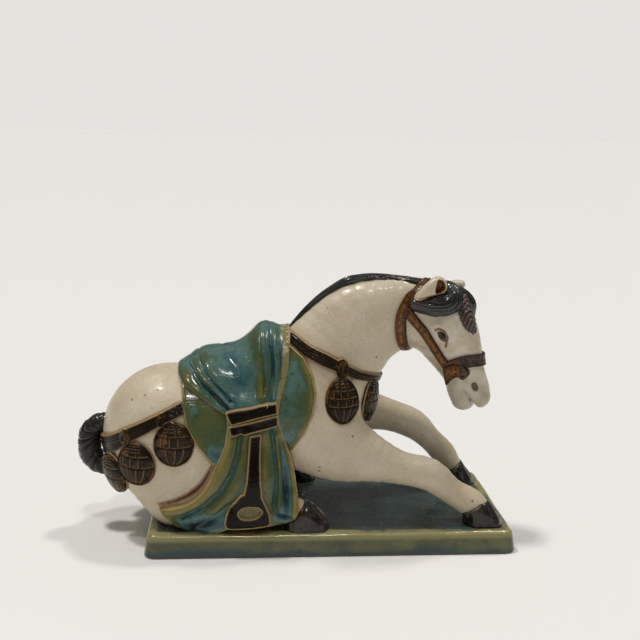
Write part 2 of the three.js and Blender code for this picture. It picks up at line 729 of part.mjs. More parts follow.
/** Merges edges, the least change of shape first, until `target` faces are left. */
function simplify({ points, faces }, target) {
  const P = points.map((p) => p.slice());
  const F = faces.map((f) => f.slice());
  const alive = new Uint8Array(F.length).fill(1);
  const around = P.map(() => new Set());
  F.forEach((f, i) => f.forEach((v) => around[v].add(i)));
  const cross = (a, b, c) => {
    const u = [b[0] - a[0], b[1] - a[1], b[2] - a[2]];
    const v = [c[0] - a[0], c[1] - a[1], c[2] - a[2]];
    return [u[1] * v[2] - u[2] * v[1], u[2] * v[0] - u[0] * v[2], u[0] * v[1] - u[1] * v[0]];
  };
  const Q = P.map(() => new Float64Array(10));
  for (const f of F) {
    const n = cross(P[f[0]], P[f[1]], P[f[2]]);
    const l = span3(...n) + 1e-12;
    const [a, b, c] = n.map((v) => v / l);
    const d = -(a * P[f[0]][0] + b * P[f[0]][1] + c * P[f[0]][2]);
    const w = l / 2;
    const q = [a * a, a * b, a * c, a * d, b * b, b * c, b * d, c * c, c * d, d * d];
    for (const v of f) for (let i = 0; i < 10; i++) Q[v][i] += q[i] * w;
  }
  const stamp = new Int32Array(P.length);
  const cost = (q, [x, y, z]) =>
    q[0] * x * x + 2 * q[1] * x * y + 2 * q[2] * x * z + 2 * q[3] * x + q[4] * y * y +
    2 * q[5] * y * z + 2 * q[6] * y + q[7] * z * z + 2 * q[8] * z + q[9];
  const plan = (a, b) => {
    const q = Q[a].map((v, i) => v + Q[b][i]);
    const mid = P[a].map((v, i) => (v + P[b][i]) / 2);
    const e = 1e-3;
    const [m00, m01, m02, m11, m12, m22] = [q[0] + e, q[1], q[2], q[4] + e, q[5], q[7] + e];
    const r = [-q[3] + e * mid[0], -q[6] + e * mid[1], -q[8] + e * mid[2]];
    const c00 = m11 * m22 - m12 * m12;
    const c01 = m02 * m12 - m01 * m22;
    const c02 = m01 * m12 - m02 * m11;
    const det = m00 * c00 + m01 * c01 + m02 * c02;
    const c11 = m00 * m22 - m02 * m02;
    const c12 = m01 * m02 - m00 * m12;
    const c22 = m00 * m11 - m01 * m01;
    let at = [
      (c00 * r[0] + c01 * r[1] + c02 * r[2]) / det,
      (c01 * r[0] + c11 * r[1] + c12 * r[2]) / det,
      (c02 * r[0] + c12 * r[1] + c22 * r[2]) / det,
    ];
    const len = span3(P[a][0] - P[b][0], P[a][1] - P[b][1], P[a][2] - P[b][2]);
    const off = span3(at[0] - mid[0], at[1] - mid[1], at[2] - mid[2]);
    if (!(off < len * 1.5)) at = mid;
    return { a, b, at, c: cost(q, at) + 1e-4 * len * len, sa: stamp[a], sb: stamp[b] };
  };
  const heap = [];
  const push = (o) => {
    let i = heap.push(o) - 1;
    while (i > 0) {
      const p = (i - 1) >> 1;
      if (heap[p].c <= heap[i].c) break;
      [heap[p], heap[i]] = [heap[i], heap[p]];
      i = p;
    }
  };
  const pop = () => {
    const top = heap[0];
    const last = heap.pop();
    if (heap.length) {
      heap[0] = last;
      let i = 0;
      for (;;) {
        let s = i;
        if (2 * i + 1 < heap.length && heap[2 * i + 1].c < heap[s].c) s = 2 * i + 1;
        if (2 * i + 2 < heap.length && heap[2 * i + 2].c < heap[s].c) s = 2 * i + 2;
        if (s === i) break;
        [heap[s], heap[i]] = [heap[i], heap[s]];
        i = s;
      }
    }
    return top;
  };
  const neighbours = (v) => {
    const out = new Set();
    for (const f of around[v]) for (const u of F[f]) if (u !== v) out.add(u);
    return out;
  };
  for (const f of F) {
    for (let i = 0; i < 3; i++) if (f[i] < f[(i + 1) % 3]) push(plan(f[i], f[(i + 1) % 3]));
  }
  let left = F.length;
  const turnsOver = (v, other, at) => {
    for (const f of around[v]) {
      if (F[f].includes(other)) continue;
      const old = cross(...F[f].map((u) => P[u]));
      const now = cross(...F[f].map((u) => (u === v ? at : P[u])));
      const lo = span3(...old);
      const ln = span3(...now);
      if (ln < 1e-3) return true;
      if (old[0] * now[0] + old[1] * now[1] + old[2] * now[2] < 0.3 * lo * ln) return true;
    }
    return false;
  };
  while (left > target && heap.length) {
    const o = pop();
    const { a, b, at } = o;
    if (stamp[a] !== o.sa || stamp[b] !== o.sb) continue;
    const na = neighbours(a);
    if (!na.has(b)) continue;
    let shared = 0;
    for (const u of neighbours(b)) if (na.has(u)) shared++;
    if (shared !== 2) continue;
    if (turnsOver(a, b, at) || turnsOver(b, a, at)) continue;
    P[a] = at;
    for (let i = 0; i < 10; i++) Q[a][i] += Q[b][i];
    for (const f of [...around[b]]) {
      if (F[f].includes(a)) {
        alive[f] = 0;
        left--;
        for (const u of F[f]) around[u].delete(f);
      } else {
        F[f][F[f].indexOf(b)] = a;
        around[a].add(f);
      }
    }
    around[b].clear();
    stamp[b] = -1;
    stamp[a]++;
    for (const u of neighbours(a)) push(plan(a, u));
  }
  return { points: P, faces: F.filter((_, i) => alive[i]) };
}

function meshOf({ points, faces }, name, color, roughness) {
  const at = new Float32Array(faces.length * 9);
  faces.forEach((f, i) => f.forEach((v, j) => at.set(points[v], i * 9 + j * 3)));
  const g = new THREE.BufferGeometry().setAttribute("position", new THREE.BufferAttribute(at, 3));
  g.computeVertexNormals();
  const mesh = new THREE.Mesh(g, new THREE.MeshStandardMaterial({ color, roughness }));
  mesh.name = name;
  return mesh;
}

// Plinth.
/** A ring of points round a rounded oblong, at one level. */
function ring(halfLong, halfDeep, round, z, steps) {
  const out = [];
  for (let q = 0; q < 4; q++) {
    const cx = (halfLong - round) * (q === 0 || q === 3 ? 1 : -1);
    const cy = (halfDeep - round) * (q < 2 ? 1 : -1);
    for (let s = 0; s <= steps; s++) {
      const a = (q + s / steps) * (PI / 2);
      out.push([cx + round * cos(a), cy + round * sin(a), z]);
    }
  }
  return out;
}
function plinth() {
  const rings = [];
  const add = (out, z) => {
    rings.push(ring(PLINTH_LENGTH / 2 + out, PLINTH_DEPTH / 2 + out, CORNER_ROUND + out, z, 5));
  };
  add(PLINTH_FLARE - 1, 0);
  add(PLINTH_FLARE, 1);
  const shoulder = PLINTH_HEIGHT - PLINTH_ROLL;
  add(0.4, shoulder);
  for (let s = 1; s <= 5; s++) {
    const a = (s / 5) * (PI / 2);
    add(PLINTH_ROLL * (cos(a) - 1) + 0.4 * cos(a), shoulder + PLINTH_ROLL * sin(a));
  }
  const points = rings.flat();
  const n = rings[0].length;
  const faces = [];
  for (let r = 0; r + 1 < rings.length; r++) {
    for (let i = 0; i < n; i++) {
      const j = (i + 1) % n;
      faces.push([r * n + i, r * n + j, (r + 1) * n + j]);
      faces.push([r * n + i, (r + 1) * n + j, (r + 1) * n + i]);
    }
  }
  const top = (rings.length - 1) * n;
  for (let i = 1; i + 1 < n; i++) faces.push([0, i + 1, i], [top, top + i, top + i + 1]);
  return { points, faces };
}

const drawn = simplify(largest(surfaceOf(horseField, GRID_LOW, GRID_HIGH, GRID)), FACES);
const placed = ([x, y, z]) => [x * SCALE, y * SCALE, SOLE + (z - DRAWN_SOLE) * SCALE];
const horse = { points: drawn.points.map(placed), faces: drawn.faces };

const group = new THREE.Group();
group.name = "tomb_horse";
group.add(meshOf(horse, "horse", WHITE, 0.35));
group.add(meshOf(plinth(), "plinth", PLINTH_GREEN, 0.4));
export default group;
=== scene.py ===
# A glazed stoneware tomb horse, half lying with its forelegs stretched out, on an oblong plinth.
# Sizes are in millimetres and become metres when a piece is made. The head end is +X, the near side
# is -Y.
import math
from concurrent.futures import ThreadPoolExecutor

import bpy
import numpy as np
from mathutils import Matrix, Vector


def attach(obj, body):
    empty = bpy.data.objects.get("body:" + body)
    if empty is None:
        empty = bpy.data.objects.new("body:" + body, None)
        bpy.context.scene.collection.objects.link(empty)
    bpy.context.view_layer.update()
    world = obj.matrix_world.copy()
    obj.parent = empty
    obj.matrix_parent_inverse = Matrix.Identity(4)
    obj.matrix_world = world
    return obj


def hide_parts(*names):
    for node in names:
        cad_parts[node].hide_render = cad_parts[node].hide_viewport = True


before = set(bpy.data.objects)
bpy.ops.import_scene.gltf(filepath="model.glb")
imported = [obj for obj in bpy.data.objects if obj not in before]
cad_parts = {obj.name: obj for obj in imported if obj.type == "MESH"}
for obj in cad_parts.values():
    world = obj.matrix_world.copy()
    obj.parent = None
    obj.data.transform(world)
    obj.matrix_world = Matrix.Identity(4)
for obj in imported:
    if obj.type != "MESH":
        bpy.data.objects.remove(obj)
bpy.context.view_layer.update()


# The stand-in for a photographer's table: a pale floor, lamps overhead and the camera.
# The camera stands a little left of the middle and looks slightly down, as in the photograph.
# Its place, turn and focal length, in shares of the picture's width, were fitted to the photograph.
EYE_AT = Vector((-0.0683, -0.6866, 0.3090))
EYE_YAW, EYE_PITCH, EYE_ROLL = math.radians(5.01), math.radians(11.93), math.radians(1.39)
FOCAL_SHARE = 923.6 / 640
SENSOR = 36
ahead = math.cos(EYE_PITCH)
forward = Vector((math.sin(EYE_YAW) * ahead, math.cos(EYE_YAW) * ahead, -math.sin(EYE_PITCH)))
level = Vector((math.cos(EYE_YAW), -math.sin(EYE_YAW), 0))
upright = level.cross(forward)
right = level * math.cos(EYE_ROLL) + upright * math.sin(EYE_ROLL)
up = upright * math.cos(EYE_ROLL) - level * math.sin(EYE_ROLL)
eye = bpy.data.cameras.new("eye")
eye.sensor_width = SENSOR
eye.lens = FOCAL_SHARE * SENSOR
eye.clip_start = 0.01
camera = bpy.data.objects.new("eye", eye)
camera.matrix_world = Matrix((right, up, -forward)).transposed().to_4x4()
camera.location = EYE_AT
bpy.context.collection.objects.link(camera)
bpy.context.scene.camera = camera
bpy.context.scene.view_settings.view_transform = "Standard"


def colour(r, g, b):
    """A colour given as screen values from 0 to 255, made linear by the sRGB curve."""
    c = np.array([r, g, b]) / 255
    c = np.where(c <= 0.04045, c / 12.92, ((c + 0.055) / 1.055) ** 2.4)
    return (*map(float, c), 1.0)


# Each lamp is a soft sun: the direction it shines from, its power and its width in degrees.
LAMP_TINT = (1.0, 0.97, 0.93)
for name, direction, power, spread in (
    ("left_lamp", (-0.32, 0.10, 0.94), 1.2, 6),
    ("near_lamp", (0.05, -0.36, 0.93), 0.45, 6),
    ("right_lamp", (0.30, 0.26, 0.92), 0.68, 6),
    ("ceiling", (-0.1, 0.15, 1.0), 0.3, 100),
):
    data = bpy.data.lights.new(name, "SUN")
    data.energy, data.color, data.angle = power, LAMP_TINT, math.radians(spread)
    lamp = bpy.data.objects.new(name, data)
    lamp.location = direction
    lamp.rotation_mode = "QUATERNION"
    lamp.rotation_quaternion = (-Vector(direction)).to_track_quat("-Z", "Y")
    bpy.context.collection.objects.link(lamp)

world = bpy.data.worlds.new("pale_room")
bpy.context.scene.world = world
world.use_nodes = True
air = world.node_tree.nodes["Background"]
air.inputs["Color"].default_value = (1.0, 0.981, 0.941, 1)
# The room is bright to the camera and dim to the glaze, so that the lamps give the shine.
ROOM_SEEN, ROOM_LIGHT = 0.783, 0.14
seen = world.node_tree.nodes.new("ShaderNodeLightPath")
bright = world.node_tree.nodes.new("ShaderNodeMapRange")
bright.inputs["To Min"].default_value = ROOM_LIGHT
bright.inputs["To Max"].default_value = ROOM_SEEN
world.node_tree.links.new(seen.outputs["Is Camera Ray"], bright.inputs["Value"])
world.node_tree.links.new(bright.outputs["Result"], air.inputs["Strength"])

FLOOR_HALF = 30
corners = [(a * FLOOR_HALF, b * FLOOR_HALF, 0) for a, b in ((-1, -1), (1, -1), (1, 1), (-1, 1))]
floor_mesh = bpy.data.meshes.new("floor")
floor_mesh.from_pydata(corners, [], [(0, 1, 2, 3)])
floor = bpy.data.objects.new("floor", floor_mesh)
bpy.context.collection.objects.link(floor)
pale = bpy.data.materials.new("pale_floor")
pale.use_nodes = True
pale_shader = pale.node_tree.nodes["Principled BSDF"]
pale_shader.inputs["Base Color"].default_value = (0.93, 0.93, 0.92, 1)
pale_shader.inputs["Roughness"].default_value = 0.7
floor_mesh.materials.append(pale)


# The plinth is a slab of clay with a rounded upper edge and a foot that spreads a little, glazed in
# puddles of dark blue-green on top, olive where it runs thin over the edge and blue at the foot. A
# pale band along the rounded upper edge is a painted highlight.
PLINTH_LONG = 270
PLINTH_DEEP = 125
PLINTH_HIGH = 17
PLINTH_FLARE = 2.35
PLINTH_ROLL = 3.5
PLINTH_CORNER = 6


def outward(points, quads):
    """Turns the faces round if the volume, a sixth of the sum of triple products, is negative."""
    a, b, c, d = (points[quads[:, i]] for i in range(4))
    volume = (a * np.cross(b, c)).sum() + (a * np.cross(c, d)).sum()
    return quads if volume > 0 else quads[:, ::-1]


def piece(name, points, quads, material, node="horse", finish="white_glaze", marks=None):
    """One piece from points in mm and four-cornered faces, where a face with its last two corners
    alike is a triangle. `marks` are values per point that the glaze reads."""
    quads = outward(points, quads)
    three = (quads[:, 2] == quads[:, 3]) | (quads[:, 0] == quads[:, 1])
    four, tris = quads[~three], quads[three]
    tris = tris[:, :3] if (tris[:, 2] == tris[:, 3]).all() else tris[:, 1:]
    mesh = bpy.data.meshes.new(name)
    mesh.vertices.add(len(points))
    mesh.vertices.foreach_set("co", (points / 1000).astype(np.float32).ravel())
    corners = np.concatenate([four.ravel(), tris.ravel()])
    starts = np.append(np.arange(len(four)) * 4, len(four) * 4 + np.arange(len(tris)) * 3)
    mesh.loops.add(len(corners))
    mesh.loops.foreach_set("vertex_index", corners.astype(np.int32))
    mesh.polygons.add(len(starts))
    mesh.polygons.foreach_set("loop_start", starts.astype(np.int32))
    mesh.polygons.foreach_set("use_smooth", np.ones(len(starts), bool))
    for key, values in (marks or {}).items():
        mark = mesh.attributes.new(key, "FLOAT", "POINT")
        mark.data.foreach_set("value", values.astype(np.float32))
    mesh.update(calc_edges=True)
    mesh.validate()
    mesh.materials.append(material)
    obj = bpy.data.objects.new(name, mesh)
    bpy.context.collection.objects.link(obj)
    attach(obj, "root")
    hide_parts(node)


def wrapped(grid):
    """Points and faces of a grid whose rows are rings, with a middle point closing each end."""
    rows, around = grid.shape[:2]
    points = np.vstack([grid.reshape(-1, 3), grid[0].mean(0), grid[-1].mean(0)])
    i = np.arange(around)
    j = (i + 1) % around
    r = np.arange(rows - 1)[:, None] * around
    quads = np.stack([r + i, r + j, r + around + j, r + around + i], -1).reshape(-1, 4)
    first, last = np.full(around, rows * around), np.full(around, rows * around + 1)
    end = (rows - 1) * around
    start = np.stack([j, i, first, first], 1)
    return points, np.vstack([quads, start, np.stack([end + i, end + j, last, last], 1)])


def ends_too(values):
    """Values of a grid of rings, with the mean of each end ring for its middle point."""
    return np.concatenate([values.ravel(), [values[0].mean(), values[-1].mean()]])


def put(tree, kind, values=None, **settings):
    """Adds a node; a socket among the values is linked, any other is set on the node's socket."""
    node = tree.nodes.new("ShaderNode" + kind)
    for key, value in settings.items():
        setattr(node, key, value)
    for key, value in (values or {}).items():
        if isinstance(value, bpy.types.NodeSocket):
            tree.links.new(value, node.inputs[key])
        else:
            node.inputs[key].default_value = value
    return node


def sums(tree, how, a, b):
    """One step of arithmetic on two values."""
    return put(tree, "Math", {0: a, 1: b}, operation=how).outputs[0]


def fade(tree, value, low, high, start=0.0, end=1.0):
    """Goes smoothly from `start` at `low` to `end` at `high`."""
    inputs = {"Value": value, "From Min": low, "From Max": high, "To Min": start, "To Max": end}
    return put(tree, "MapRange", inputs, interpolation_type="SMOOTHSTEP").outputs[0]


def group(name, ins, out):
    """An empty shared effect: a Vector input, named inputs with their values, and one output."""
    tree = bpy.data.node_groups.new(name, "ShaderNodeTree")
    tree.interface.new_socket("Vector", in_out="INPUT", socket_type="NodeSocketVector")
    for key, value in ins.items():
        socket = tree.interface.new_socket(key, in_out="INPUT", socket_type="NodeSocketFloat")
        socket.default_value = value
    tree.interface.new_socket(out, in_out="OUTPUT", socket_type="NodeSocketFloat")
    entry = tree.nodes.new("NodeGroupInput").outputs
    return tree, entry, tree.nodes.new("NodeGroupOutput").inputs[out]


# Glaze that gathers in clouds: noise bent by its own distortion, its middle values pulled apart.
cloud_tree, cloud_in, cloud_out = group("glaze_cloud", {"Scale": 30.0, "Softness": 0.25}, "Cloud")
noise = put(cloud_tree, "TexNoise", {
    "Vector": cloud_in["Vector"], "Scale": cloud_in["Scale"], "Detail": 5.0, "Distortion": 0.6,
}).outputs["Fac"]
low_side = sums(cloud_tree, "SUBTRACT", 0.5, cloud_in["Softness"])
high_side = sums(cloud_tree, "ADD", 0.5, cloud_in["Softness"])
cloud_tree.links.new(fade(cloud_tree, noise, low_side, high_side), cloud_out)

# Pinholes and iron specks: the spot round a cell's point, in a share of a cell pattern's cells.
speck_tree, speck_in, speck_out = group("iron_specks", {"Cells": 300.0, "Share": 0.1}, "Speck")
cells = put(speck_tree, "TexVoronoi", {"Vector": speck_in["Vector"], "Scale": speck_in["Cells"]})
lot = put(speck_tree, "SeparateColor", {"Color": cells.outputs["Color"]}).outputs[0]
spot = fade(speck_tree, cells.outputs["Distance"], 0.12, 0.3, 1.0, 0.0)
chosen = sums(speck_tree, "LESS_THAN", lot, speck_in["Share"])
speck_tree.links.new(sums(speck_tree, "MULTIPLY", spot, chosen), speck_out)

# The skin of a fired glaze: slow ripples and a fine orange peel.
skin_tree, skin_in, skin_out = group("glaze_skin", {"Ripple": 1.0, "Peel": 0.2}, "Height")
waves = [
    sums(skin_tree, "MULTIPLY", skin_in[share], put(skin_tree, "TexNoise", {
        "Vector": skin_in["Vector"], "Scale": scale, "Detail": 2.0,
    }).outputs["Fac"])
    for share, scale in (("Ripple", 55.0), ("Peel", 520.0))
]
skin_tree.links.new(sums(skin_tree, "ADD", *waves), skin_out)


def use(tree, shared, values, out):
    """Places a shared effect in a material and returns its output."""
    return put(tree, "Group", values, node_tree=shared).outputs[out]


class Brush:
    """Lays the colours of one material over one another. `place` is the point in the piece's own
    coordinates in metres, `base` the colour so far. A share is a value from 0 to 1, and a colour is
    a socket or three screen values."""

    def __init__(self, tree, place):
        self.tree, self.place, self.base = tree, place, None

    def at(self, axis):
        """One coordinate of the place: 0, 1 or 2."""
        return put(self.tree, "SeparateXYZ", {"Vector": self.place}).outputs[axis]

    def mark(self, name):
        """A value that the piece carries at its points, nought where it carries none."""
        node = put(self.tree, "Attribute", attribute_type="GEOMETRY", attribute_name=name)
        return node.outputs["Fac"]

    def cloud(self, scale, softness=0.3, place=None):
        """Glaze clouds, so many to a metre."""
        values = {"Vector": place or self.place, "Scale": float(scale), "Softness": softness}
        return use(self.tree, cloud_tree, values, "Cloud")

    def specks(self, cells, share):
        """Specks in a share of the cells, so many cells to a metre."""
        values = {"Vector": self.place, "Cells": float(cells), "Share": share}
        return use(self.tree, speck_tree, values, "Speck")

    def fade(self, value, low, high, start=0.0, end=1.0):
        return fade(self.tree, value, low, high, start, end)

    def times(self, a, b):
        return sums(self.tree, "MULTIPLY", a, b)

    def plus(self, a, b):
        return sums(self.tree, "ADD", a, b)

    def mix(self, share, under, top):
        under, top = (colour(*c) if isinstance(c, tuple) else c for c in (under, top))
        return put(self.tree, "Mix", {0: share, 6: under, 7: top}, data_type="RGBA").outputs[2]

    def lay(self, share, tint):
        """Lays a colour over the base by its share."""
        self.base = self.mix(share, self.base, tint)

    def sink(self, share, tint):
        """Keeps the base by the share and lets the colour show where the share is small."""
        self.base = self.mix(share, tint, self.base)


def glaze(name, paint, gloss=(0.12, 0.26), coat=0.35, ripple=1.0, peel=0.12, mirror=0.5, film=0.06,
          brushed=False):
    """A fired glaze. `paint` gets a brush and leaves the colour on it; the roughness wanders
    between the two gloss values. `mirror` is how much the glaze reflects, `film` the roughness of
    its upper film. The skin lifts the surface by up to 0.8 mm, drawn out aslant if `brushed`."""
    material = bpy.data.materials.new(name)
    material.use_nodes = True
    tree = material.node_tree
    shader = tree.nodes["Principled BSDF"]
    place = put(tree, "TexCoord").outputs["Object"]
    brush = Brush(tree, place)
    paint(brush)
    tree.links.new(brush.base, shader.inputs["Base Color"])
    tree.links.new(fade(tree, brush.cloud(70, 0.2), 0.0, 1.0, *gloss), shader.inputs["Roughness"])
    if brushed:
        turn = {"Vector": place, "Rotation": (0, 0.8, 0), "Scale": (0.6, 1.0, 3.0)}
        place = put(tree, "Mapping", turn).outputs[0]
    height = use(tree, skin_tree, {"Vector": place, "Ripple": ripple, "Peel": peel}, "Height")
    bump = put(tree, "Bump", {"Height": height, "Strength": 0.5, "Distance": 0.0016})
    tree.links.new(bump.outputs["Normal"], shader.inputs["Normal"])
    fixed = {"Coat Weight": coat, "Coat Roughness": film, "IOR": 1.5, "Specular IOR Level": mirror}
    for key, value in fixed.items():
        shader.inputs[key].default_value = value
    return material


def plinth_paint(b):
    """Dark blue-green puddles and brown clouds on top, the brown thickest towards the hind end; the
    side olive with a painted highlight along its upper edge, then blue at the foot.
    """
    x, z = b.at(0), b.at(2)
    big, small = b.cloud(16, 0.2), b.cloud(60, 0.25)
    top = b.mix(big, (26, 40, 46), (66, 92, 96))
    top = b.mix(b.times(small, 0.5), top, (58, 62, 44))
    behind = b.fade(x, -0.02, 0.05, 0.85, 0.25)
    top = b.mix(b.times(b.cloud(11, 0.12), behind), top, (62, 50, 34))
    side = b.mix(small, (104, 104, 58), (58, 70, 40))
    side = b.mix(b.fade(x, -0.12, 0.01, 0.5, 0.0), side, (58, 62, 32))
    # Painted highlight: the side lightens towards its rounded upper edge.
    side = b.mix(b.fade(z, 0.0105, 0.0148, 0.0, 0.9), side, (156, 148, 100))
    run = b.plus(z, b.times(big, 0.006))
    side = b.mix(b.fade(run, 0.0052, 0.0102, 1.0, 0.0), side, (26, 58, 62))
    side = b.mix(b.fade(z, 0.0004, 0.0022, 0.9, 0.0), side, (92, 66, 44))
    lift = b.plus(b.mark("rim"), b.times(b.plus(small, -0.5), 0.5))
    b.base = b.mix(b.fade(lift, 0.25, 0.75), top, side)
    b.lay(b.specks(190, 0.07), (28, 24, 20))


def plinth_rings(around, over_top, under_foot=12):
    """Rings of the rounded oblong grown by `out` at each level of the side, then the same rounded
    oblong shrunk towards its middle line over the top and the foot; the top wavers a little. Gives
    the rings and, for each, how much it belongs to the rim."""
    bevel, lean, side_rings, roll_rings = 1.2, 0.4, 12, 9
    shoulder = PLINTH_HIGH - PLINTH_ROLL
    roll = np.linspace(0, math.pi / 2, roll_rings)[1:]
    out = [PLINTH_FLARE - bevel, PLINTH_FLARE - bevel / 4, PLINTH_FLARE]
    rise = [0, bevel / 4, bevel]
    out += list(np.linspace(PLINTH_FLARE, lean, side_rings)[1:])
    rise += list(np.linspace(bevel, shoulder, side_rings)[1:])
    out += list(PLINTH_ROLL * (np.cos(roll) - 1) + lean * np.cos(roll))
    rise += list(shoulder + PLINTH_ROLL * np.sin(roll))
    rim = [1] * (len(out) - 2) + [0.75, 0.6]
    share = np.linspace(0, 1, over_top + 1)[1:]
    inner = out[-1] - (PLINTH_DEEP / 2 - 2 + out[-1]) * share
    out += list(inner)
    rise = [0] * under_foot + rise + [PLINTH_HIGH] * over_top
    rim += list(0.6 * np.exp(-(np.abs(inner - inner[0]) / 2.2)))
    foot = out[0] - (PLINTH_DEEP / 2 - 2 + out[0]) * np.linspace(0, 1, under_foot + 1)[1:]
    out, rise, rim = map(np.array, (list(foot[::-1]) + out, rise, [1] * under_foot + rim))
    s = np.linspace(0, 1, around, endpoint=False)
    long_half = PLINTH_LONG / 2 - PLINTH_CORNER
    deep_half = PLINTH_DEEP / 2 - PLINTH_CORNER
    arc = PLINTH_CORNER * math.pi / 2
    lengths = np.array([2 * deep_half, arc, 2 * long_half, arc] * 2)
    ends = np.concatenate([[0], np.cumsum(lengths)])
    at = s * ends[-1]
    side = np.searchsorted(ends, at, side="right") - 1
    part = (at - ends[side]) / lengths[side]
    base = np.stack([np.zeros(around)] * 2, 1)
    normal = base.copy()
    corners = np.array([[1, -1], [1, 1], [-1, 1], [-1, -1]])
    for q in range(4):
        straight, bend = side == 2 * q, side == 2 * q + 1
        a, b = corners[q], corners[(q + 1) % 4]
        t = part[straight][:, None]
        base[straight] = (a * (1 - t) + b * t) * [long_half, deep_half]
        normal[straight] = [[1, 0], [0, 1], [-1, 0], [0, -1]][q]
        angle = (q + part[bend]) * math.pi / 2
        base[bend] = b * [long_half, deep_half]
        normal[bend] = np.stack([np.cos(angle), np.sin(angle)], 1)
    grow = PLINTH_CORNER + out[:, None, None]
    shrink = np.minimum(grow, 0)
    limit = np.array([long_half, deep_half])
    inward = np.sign(base) * np.maximum(np.abs(base)[None] + shrink, 0)
    flat = np.where(grow > 0, base[None], np.minimum(np.abs(inward), limit) * np.sign(base))
    flat = flat + normal[None] * np.maximum(grow, 0)
    level_at = np.broadcast_to(rise[:, None, None], (*flat.shape[:2], 1))
    grid = np.concatenate([flat, level_at], 2)
    x, y, z = np.moveaxis(grid, 2, 0)
    waver = 0.22 * np.sin(x * 0.05 + 1) * np.sin(y * 0.09) + 0.15 * np.sin(x * 0.13 + y * 0.11)
    z += np.where(z > 12, waver - 0.25, 0)
    return grid, rim[:, None] * np.ones(around)


grid, rim = plinth_rings(around=400, over_top=26)
piece(
    "plinth_slab", *wrapped(grid), glaze("plinth_glaze", plinth_paint, (0.16, 0.34), 0.3, 1.2),
    node="plinth", finish="green_glaze", marks={"rim": ends_too(rim)},
)


# The horse's coat: one hollow casting of white-glazed clay. Trunk, neck, limbs and head are ovals
# carried along curves and run together; the hind legs are folded under, the same on both sides.
SOLE = 16.8
FAR = 1000.0
HEAD_TURN = math.radians(30)
HEAD_AT = (76, -8)
HEAD_SIDE = (math.sin(HEAD_TURN), math.cos(HEAD_TURN), 0)
FINE = 1.0


def blend(a, b, k):
    """The lesser of two distances, less a fillet that is k/4 deep where the two are alike."""
    h = np.maximum(k - np.abs(a - b), 0) / k
    return np.minimum(a, b) - h * h * (k * 0.25)


def trim(a, b, k):
    """The greater of two distances, with the edge between them rounded to about k."""
    return -blend(-a, -b, k)


def course(rows, steps):
    """A smooth line through the rows by the Catmull-Rom formula, so many steps to a span."""
    rows = np.asarray(rows, float)
    p = np.vstack([2 * rows[0] - rows[1], rows, 2 * rows[-1] - rows[-2]])
    a, b, c, d = (p[i : len(p) - 3 + i, None] for i in range(4))
    t = (np.arange(steps) / steps)[None, :, None]
    line = b + 0.5 * t * ((c - a) + t * (2 * a - 5 * b + 4 * c - d + t * (3 * (b - c) + d - a)))
    return np.vstack([line.reshape(-1, rows.shape[1]), rows[-1:]])


def limb(rows, side=(0, 1, 0), steps=3, reach=18):
    """Distance to a limb: rows of x, y, z, half depth, half width. On each span the nearest point
    of the middle line gives the oval, and the distance is k0 (k0 - 1) / k1 for that oval."""
    line = course(rows, steps)
    grown = line[:, 3:].max() + reach
    low, high = line[:, :3].min(0) - grown, line[:, :3].max(0) + grown
    spans = []
    for p, q in zip(line[:-1], line[1:]):
        e = q[:3] - p[:3]
        s = np.array(side) - (np.array(side) @ e) / (e @ e) * e
        s /= np.linalg.norm(s)
        spans.append([*map(float, (*p[:3], *e, e @ e, *s, p[3], q[3] - p[3], p[4], q[4] - p[4]))])

    def distance(x, y, z):
        out = np.full(x.shape, FAR, np.float32)
        m = (x > low[0]) & (x < high[0]) & (y > low[1]) & (y < high[1])
        m &= (z > low[2]) & (z < high[2])
        if not m.any():
            return out
        u, v, w = x[m], y[m], z[m]
        best = np.full(u.shape, FAR, np.float32)
        for ax, ay, az, ex, ey, ez, l2, sx, sy, sz, r1, d1, r2, d2 in spans:
            qx, qy, qz = u - ax, v - ay, w - az
            t = np.clip((qx * ex + qy * ey + qz * ez) / l2, 0, 1)
            qx -= t * ex
            qy -= t * ey
            qz -= t * ez
            across = qx * sx + qy * sy + qz * sz
            across *= across
            deep = np.maximum(qx * qx + qy * qy + qz * qz - across, 0)
            a2, b2 = (r1 + t * d1) ** 2, (r2 + t * d2) ** 2
            deep /= a2
            across /= b2
            k0 = np.sqrt(deep + across)
            k1 = np.sqrt(deep / a2 + across / b2) + 1e-9
            np.minimum(best, k0 * (k0 - 1) / k1, out=best)
        out[m] = best
        return out

    return distance


def on_head(rows):
    """Rows given as forward, to the far side, up on the turned head, brought to x, y, z."""
    rows = np.array(rows, float)
    f, s = rows[:, 0].copy(), rows[:, 1].copy()
    rows[:, 0] = HEAD_AT[0] + f * math.cos(HEAD_TURN) + s * math.sin(HEAD_TURN)
    rows[:, 1] = HEAD_AT[1] - f * math.sin(HEAD_TURN) + s * math.cos(HEAD_TURN)
    return rows


def head_forward(x, y):
    """How far forward of the head's turning point a place lies."""
    return (x - HEAD_AT[0]) * math.cos(HEAD_TURN) - (y - HEAD_AT[1]) * math.sin(HEAD_TURN)


def head_side(x, y):
    """How far to the head's own far side a place lies."""
    return (x - HEAD_AT[0]) * math.sin(HEAD_TURN) + (y - HEAD_AT[1]) * math.cos(HEAD_TURN)


